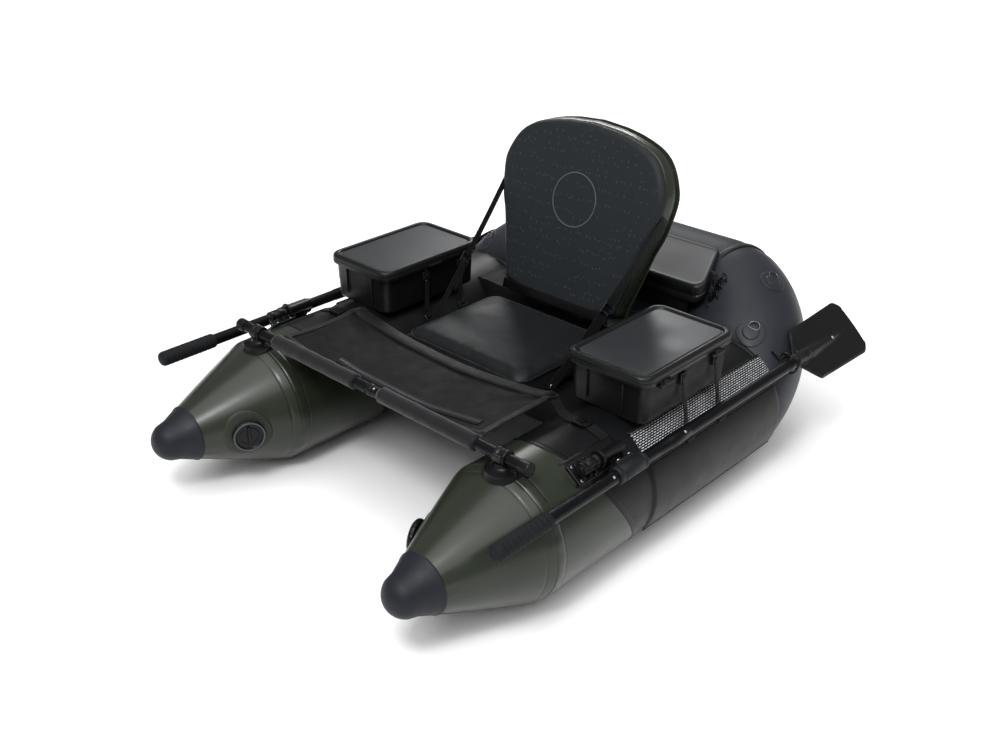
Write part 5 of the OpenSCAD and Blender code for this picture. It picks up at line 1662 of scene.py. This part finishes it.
# ---------------------------------------------------------------- oars
def build_oar(s):
    tag = side_name(s)
    body = f"oar_{tag}"
    o = (OAR_X, 0, OAR_Z)
    shaft = [(0.2, -615), (13.6, -615), (13.9, -614)]
    for y in (-460, -330, -150, -20, 120, 260, 380):
        shaft += [(13.9, y)]
    # joint collar of the two-piece shaft
    shaft = [q for q in shaft if q[1] < -100] + [(13.9, -92), (14.9, -90), (15.1, -60), (14.9, -32),
                                                 (13.9, -30)] + \
            [q for q in shaft if q[1] > -25] + [(13.9, 459), (0.2, 459)]
    v, f = sided(s, *lathe(shaft, o, (0, 1, 0), 40))
    piece(f"oar_tube_{tag}", v, f, "tube", body, [f"oar_shaft_{tag}"], "bar_metal", sharp=50)
    # grip: foam with a rounded butt and shallow grooves
    prof = [(0.2, -621.4), (8, -621.2), (13.5, -619.8), (16.8, -616.5), (18, -611)]
    y = -604.0
    while y < -486:
        prof += [(18.1, y), (17.3, y + 1.6), (17.3, y + 2.6), (18.1, y + 4.2)]
        y += 13.0
    prof += [(18, -480), (17.6, -475), (16.2, -472.4), (14.1, -472)]
    v, f = sided(s, *lathe(prof, o, (0, 1, 0), 40))
    piece(f"grip_{tag}", v, f, "grip", body, [f"oar_grip_{tag}"], "grip_foam", sharp=60)
    # snap buttons
    n = np.array((sin(rad(40)), 0, cos(rad(40))))
    btn = [lathe([(0.2, 18.4), (1.8, 18.2), (3.2, 17.2), (3.6, 15.6), (3.6, 13.6)],
                 (OAR_X, -288, OAR_Z), tuple(n), 16)]
    btn.append(lathe([(0.2, 18.2), (1.8, 18.0), (3.2, 17.0), (3.6, 15.6), (3.6, 13.6)],
                     (OAR_X, -46, OAR_Z), tuple(n), 16))
    v, f = merge([sided(s, vv, flip_faces(ff)) for vv, ff in btn])
    piece(f"button_{tag}", v, f, "steel", body, [f"oar_button_{tag}"], "steel")
    # blade: dished plate with rolled edges, centre rib and socket
    ta = rad(42)
    a = np.array((cos(ta), 0, -sin(ta)))
    nn = np.array((sin(ta), 0, cos(ta)))
    ys = [421, 426, 432, 440, 450, 458, 466, 473, 480, 490, 505, 520, 540, 560, 580, 600, 620, 640,
          655, 668, 678,
          684, 690, 695, 699, 702, 704.4, 705.8]
    rings = []
    for y in ys:
        if y < 474:
            w = lerp(16, 70, smoothstep((y - 421) / 53.0) * 0.55 + 0.45 * (y - 421) / 53.0)
        elif y < 684:
            w = lerp(70, 76, (y - 474) / 210.0)
        else:
            w = 54 + 22 * sqrt(max(0.0, 1 - ((y - 684) / 22.0) ** 2))
        rib = lerp(15.5, 4.5, min(1.0, max(0.0, (y - 460) / 190.0)))
        rib *= 1 - smoothstep((y - 640) / 40.0)
        ring = []
        m = 26
        for side in (1, -1):
            for j in range(m):
                p = -1 + 2 * j / m
                x = w * (p if side > 0 else -p)
                e = 1 - abs(x) / w
                roll = 3.0 * exp(-((w - abs(x) - 3.5) / 3.2) ** 2) * 0.45
                th = 2.1 * min(1.0, sqrt(min(1.0, e * w / 2.4))) + roll
                bump = sqrt(rib * rib - x * x) if abs(x) < rib else 0.0
                soft = max(th, bump * 0.92) if bump else th
                dish = 5.0 * (x / 76.0) ** 2 * smoothstep((y - 450) / 80.0)
                ring.append(np.array((OAR_X, y, OAR_Z)) + a * x + nn * (side * soft - dish))
        rings.append(ring)
    v, f = loft(rings)
    v, f = [tuple(q) for q in v], flip_faces(f)
    plate = (v, f)
    socket = lathe([(14.05, 412.6), (16.2, 412.8), (17.6, 414), (18.2, 417), (18.2, 423),
                    (17.2, 425), (17.2, 455),
                    (16.6, 470), (14, 480), (8, 488), (0.2, 490)], o, (0, 1, 0), 40)
    v, f = sided(s, *merge([plate, socket]))
    piece(f"blade_{tag}", v, f, "blade", body, [f"oar_blade_{tag}"], "blade_plastic", sharp=40)
    # rivet on the blade's face
    c = np.array((OAR_X, 590, OAR_Z)) + nn * 9.4
    v, f = sided(s, *lathe([(4.4, -2), (4.2, 0.4), (3.0, 1.6), (0.2, 2.0)], tuple(c), tuple(nn),
                           18))
    piece(f"blade_rivet_{tag}", v, f, "steel", body)
    # shock-cord loop that holds the stowed neck to the stern
    pts = []
    for i in range(30):
        b = 2 * pi * i / 30
        pts.append((OAR_X + 20.8 * cos(b), 398 + 2.5 * sin(2 * b),
                    OAR_Z + 20.8 * sin(b)))
    parts = [path_tube(pts, 2.2, 8, closed=True)]
    p1 = stern_surface(9, rad(50), 3.0)
    p0 = stern_surface(9, rad(38), 2.0)
    ctrl = [(OAR_X + 4, 399, 300), (541, 400, 303), (527, 401, 300),
            tuple(p1 * 0.25 + np.array((530, 400, 290)) * 0.75),
            tuple(p1), tuple(p0)]
    parts.append(path_tube(curve_points(ctrl, 30), 2.0, 8))
    parts.append(block(538, 400, 301.5, 12, 10, 8, 2.4))
    v, f = sided(s, *merge(parts))
    piece(f"stow_loop_{tag}", v, f, "gloss", "hull")


on_both_sides(build_oar)


# ---------------------------------------------------------------- floor, light and world
def make_stage():
    me = bpy.data.meshes.new("floor")
    k = 30.0
    me.from_pydata([(-k, -k, -0.002), (k, -k, -0.002), (k, k, -0.002), (-k, k, -0.002)], [],
                   [(0, 1, 2, 3)])
    floor = bpy.data.objects.new("floor", me)
    bpy.context.scene.collection.objects.link(floor)
    m = bpy.data.materials.new("studio floor")
    m.use_nodes = True
    b = m.node_tree.nodes["Principled BSDF"]
    b.inputs["Base Color"].default_value = (0.93, 0.93, 0.93, 1)
    b.inputs["Roughness"].default_value = 0.9
    b.inputs["Specular IOR Level"].default_value = 0.1
    me.materials.append(m)
    bpy.context.scene.view_settings.view_transform = "Standard"
    world = bpy.data.worlds.new("studio")
    bpy.context.scene.world = world
    world.use_nodes = True
    bg = world.node_tree.nodes["Background"]
    bg.inputs["Color"].default_value = (1.0, 1.0, 1.0, 1)
    bg.inputs["Strength"].default_value = 0.30

    def area(name, loc, aim, size, power, size_y=None):
        d = bpy.data.lights.new(name, "AREA")
        d.energy = power
        d.size = size
        if size_y:
            d.shape = "RECTANGLE"
            d.size_y = size_y
        o = bpy.data.objects.new(name, d)
        o.location = loc
        o.rotation_euler = (Vector(aim) - Vector(loc)).to_track_quat("-Z", "Y").to_euler()
        bpy.context.scene.collection.objects.link(o)

    area("key", (1.0, -2.0, 2.9), (0.1, -0.3, 0.2), 0.9, 52, 0.7)
    area("rim", (-1.6, 2.2, 2.0), (0, 0.2, 0.3), 1.4, 30, 0.8)
    sun = bpy.data.lights.new("softbox", "SUN")
    sun.energy = 2.75
    sun.angle = rad(75)
    o = bpy.data.objects.new("softbox", sun)
    o.rotation_euler = Vector((-0.35, 0.4, -1.5)).to_track_quat("-Z", "Y").to_euler()
    bpy.context.scene.collection.objects.link(o)


make_stage()
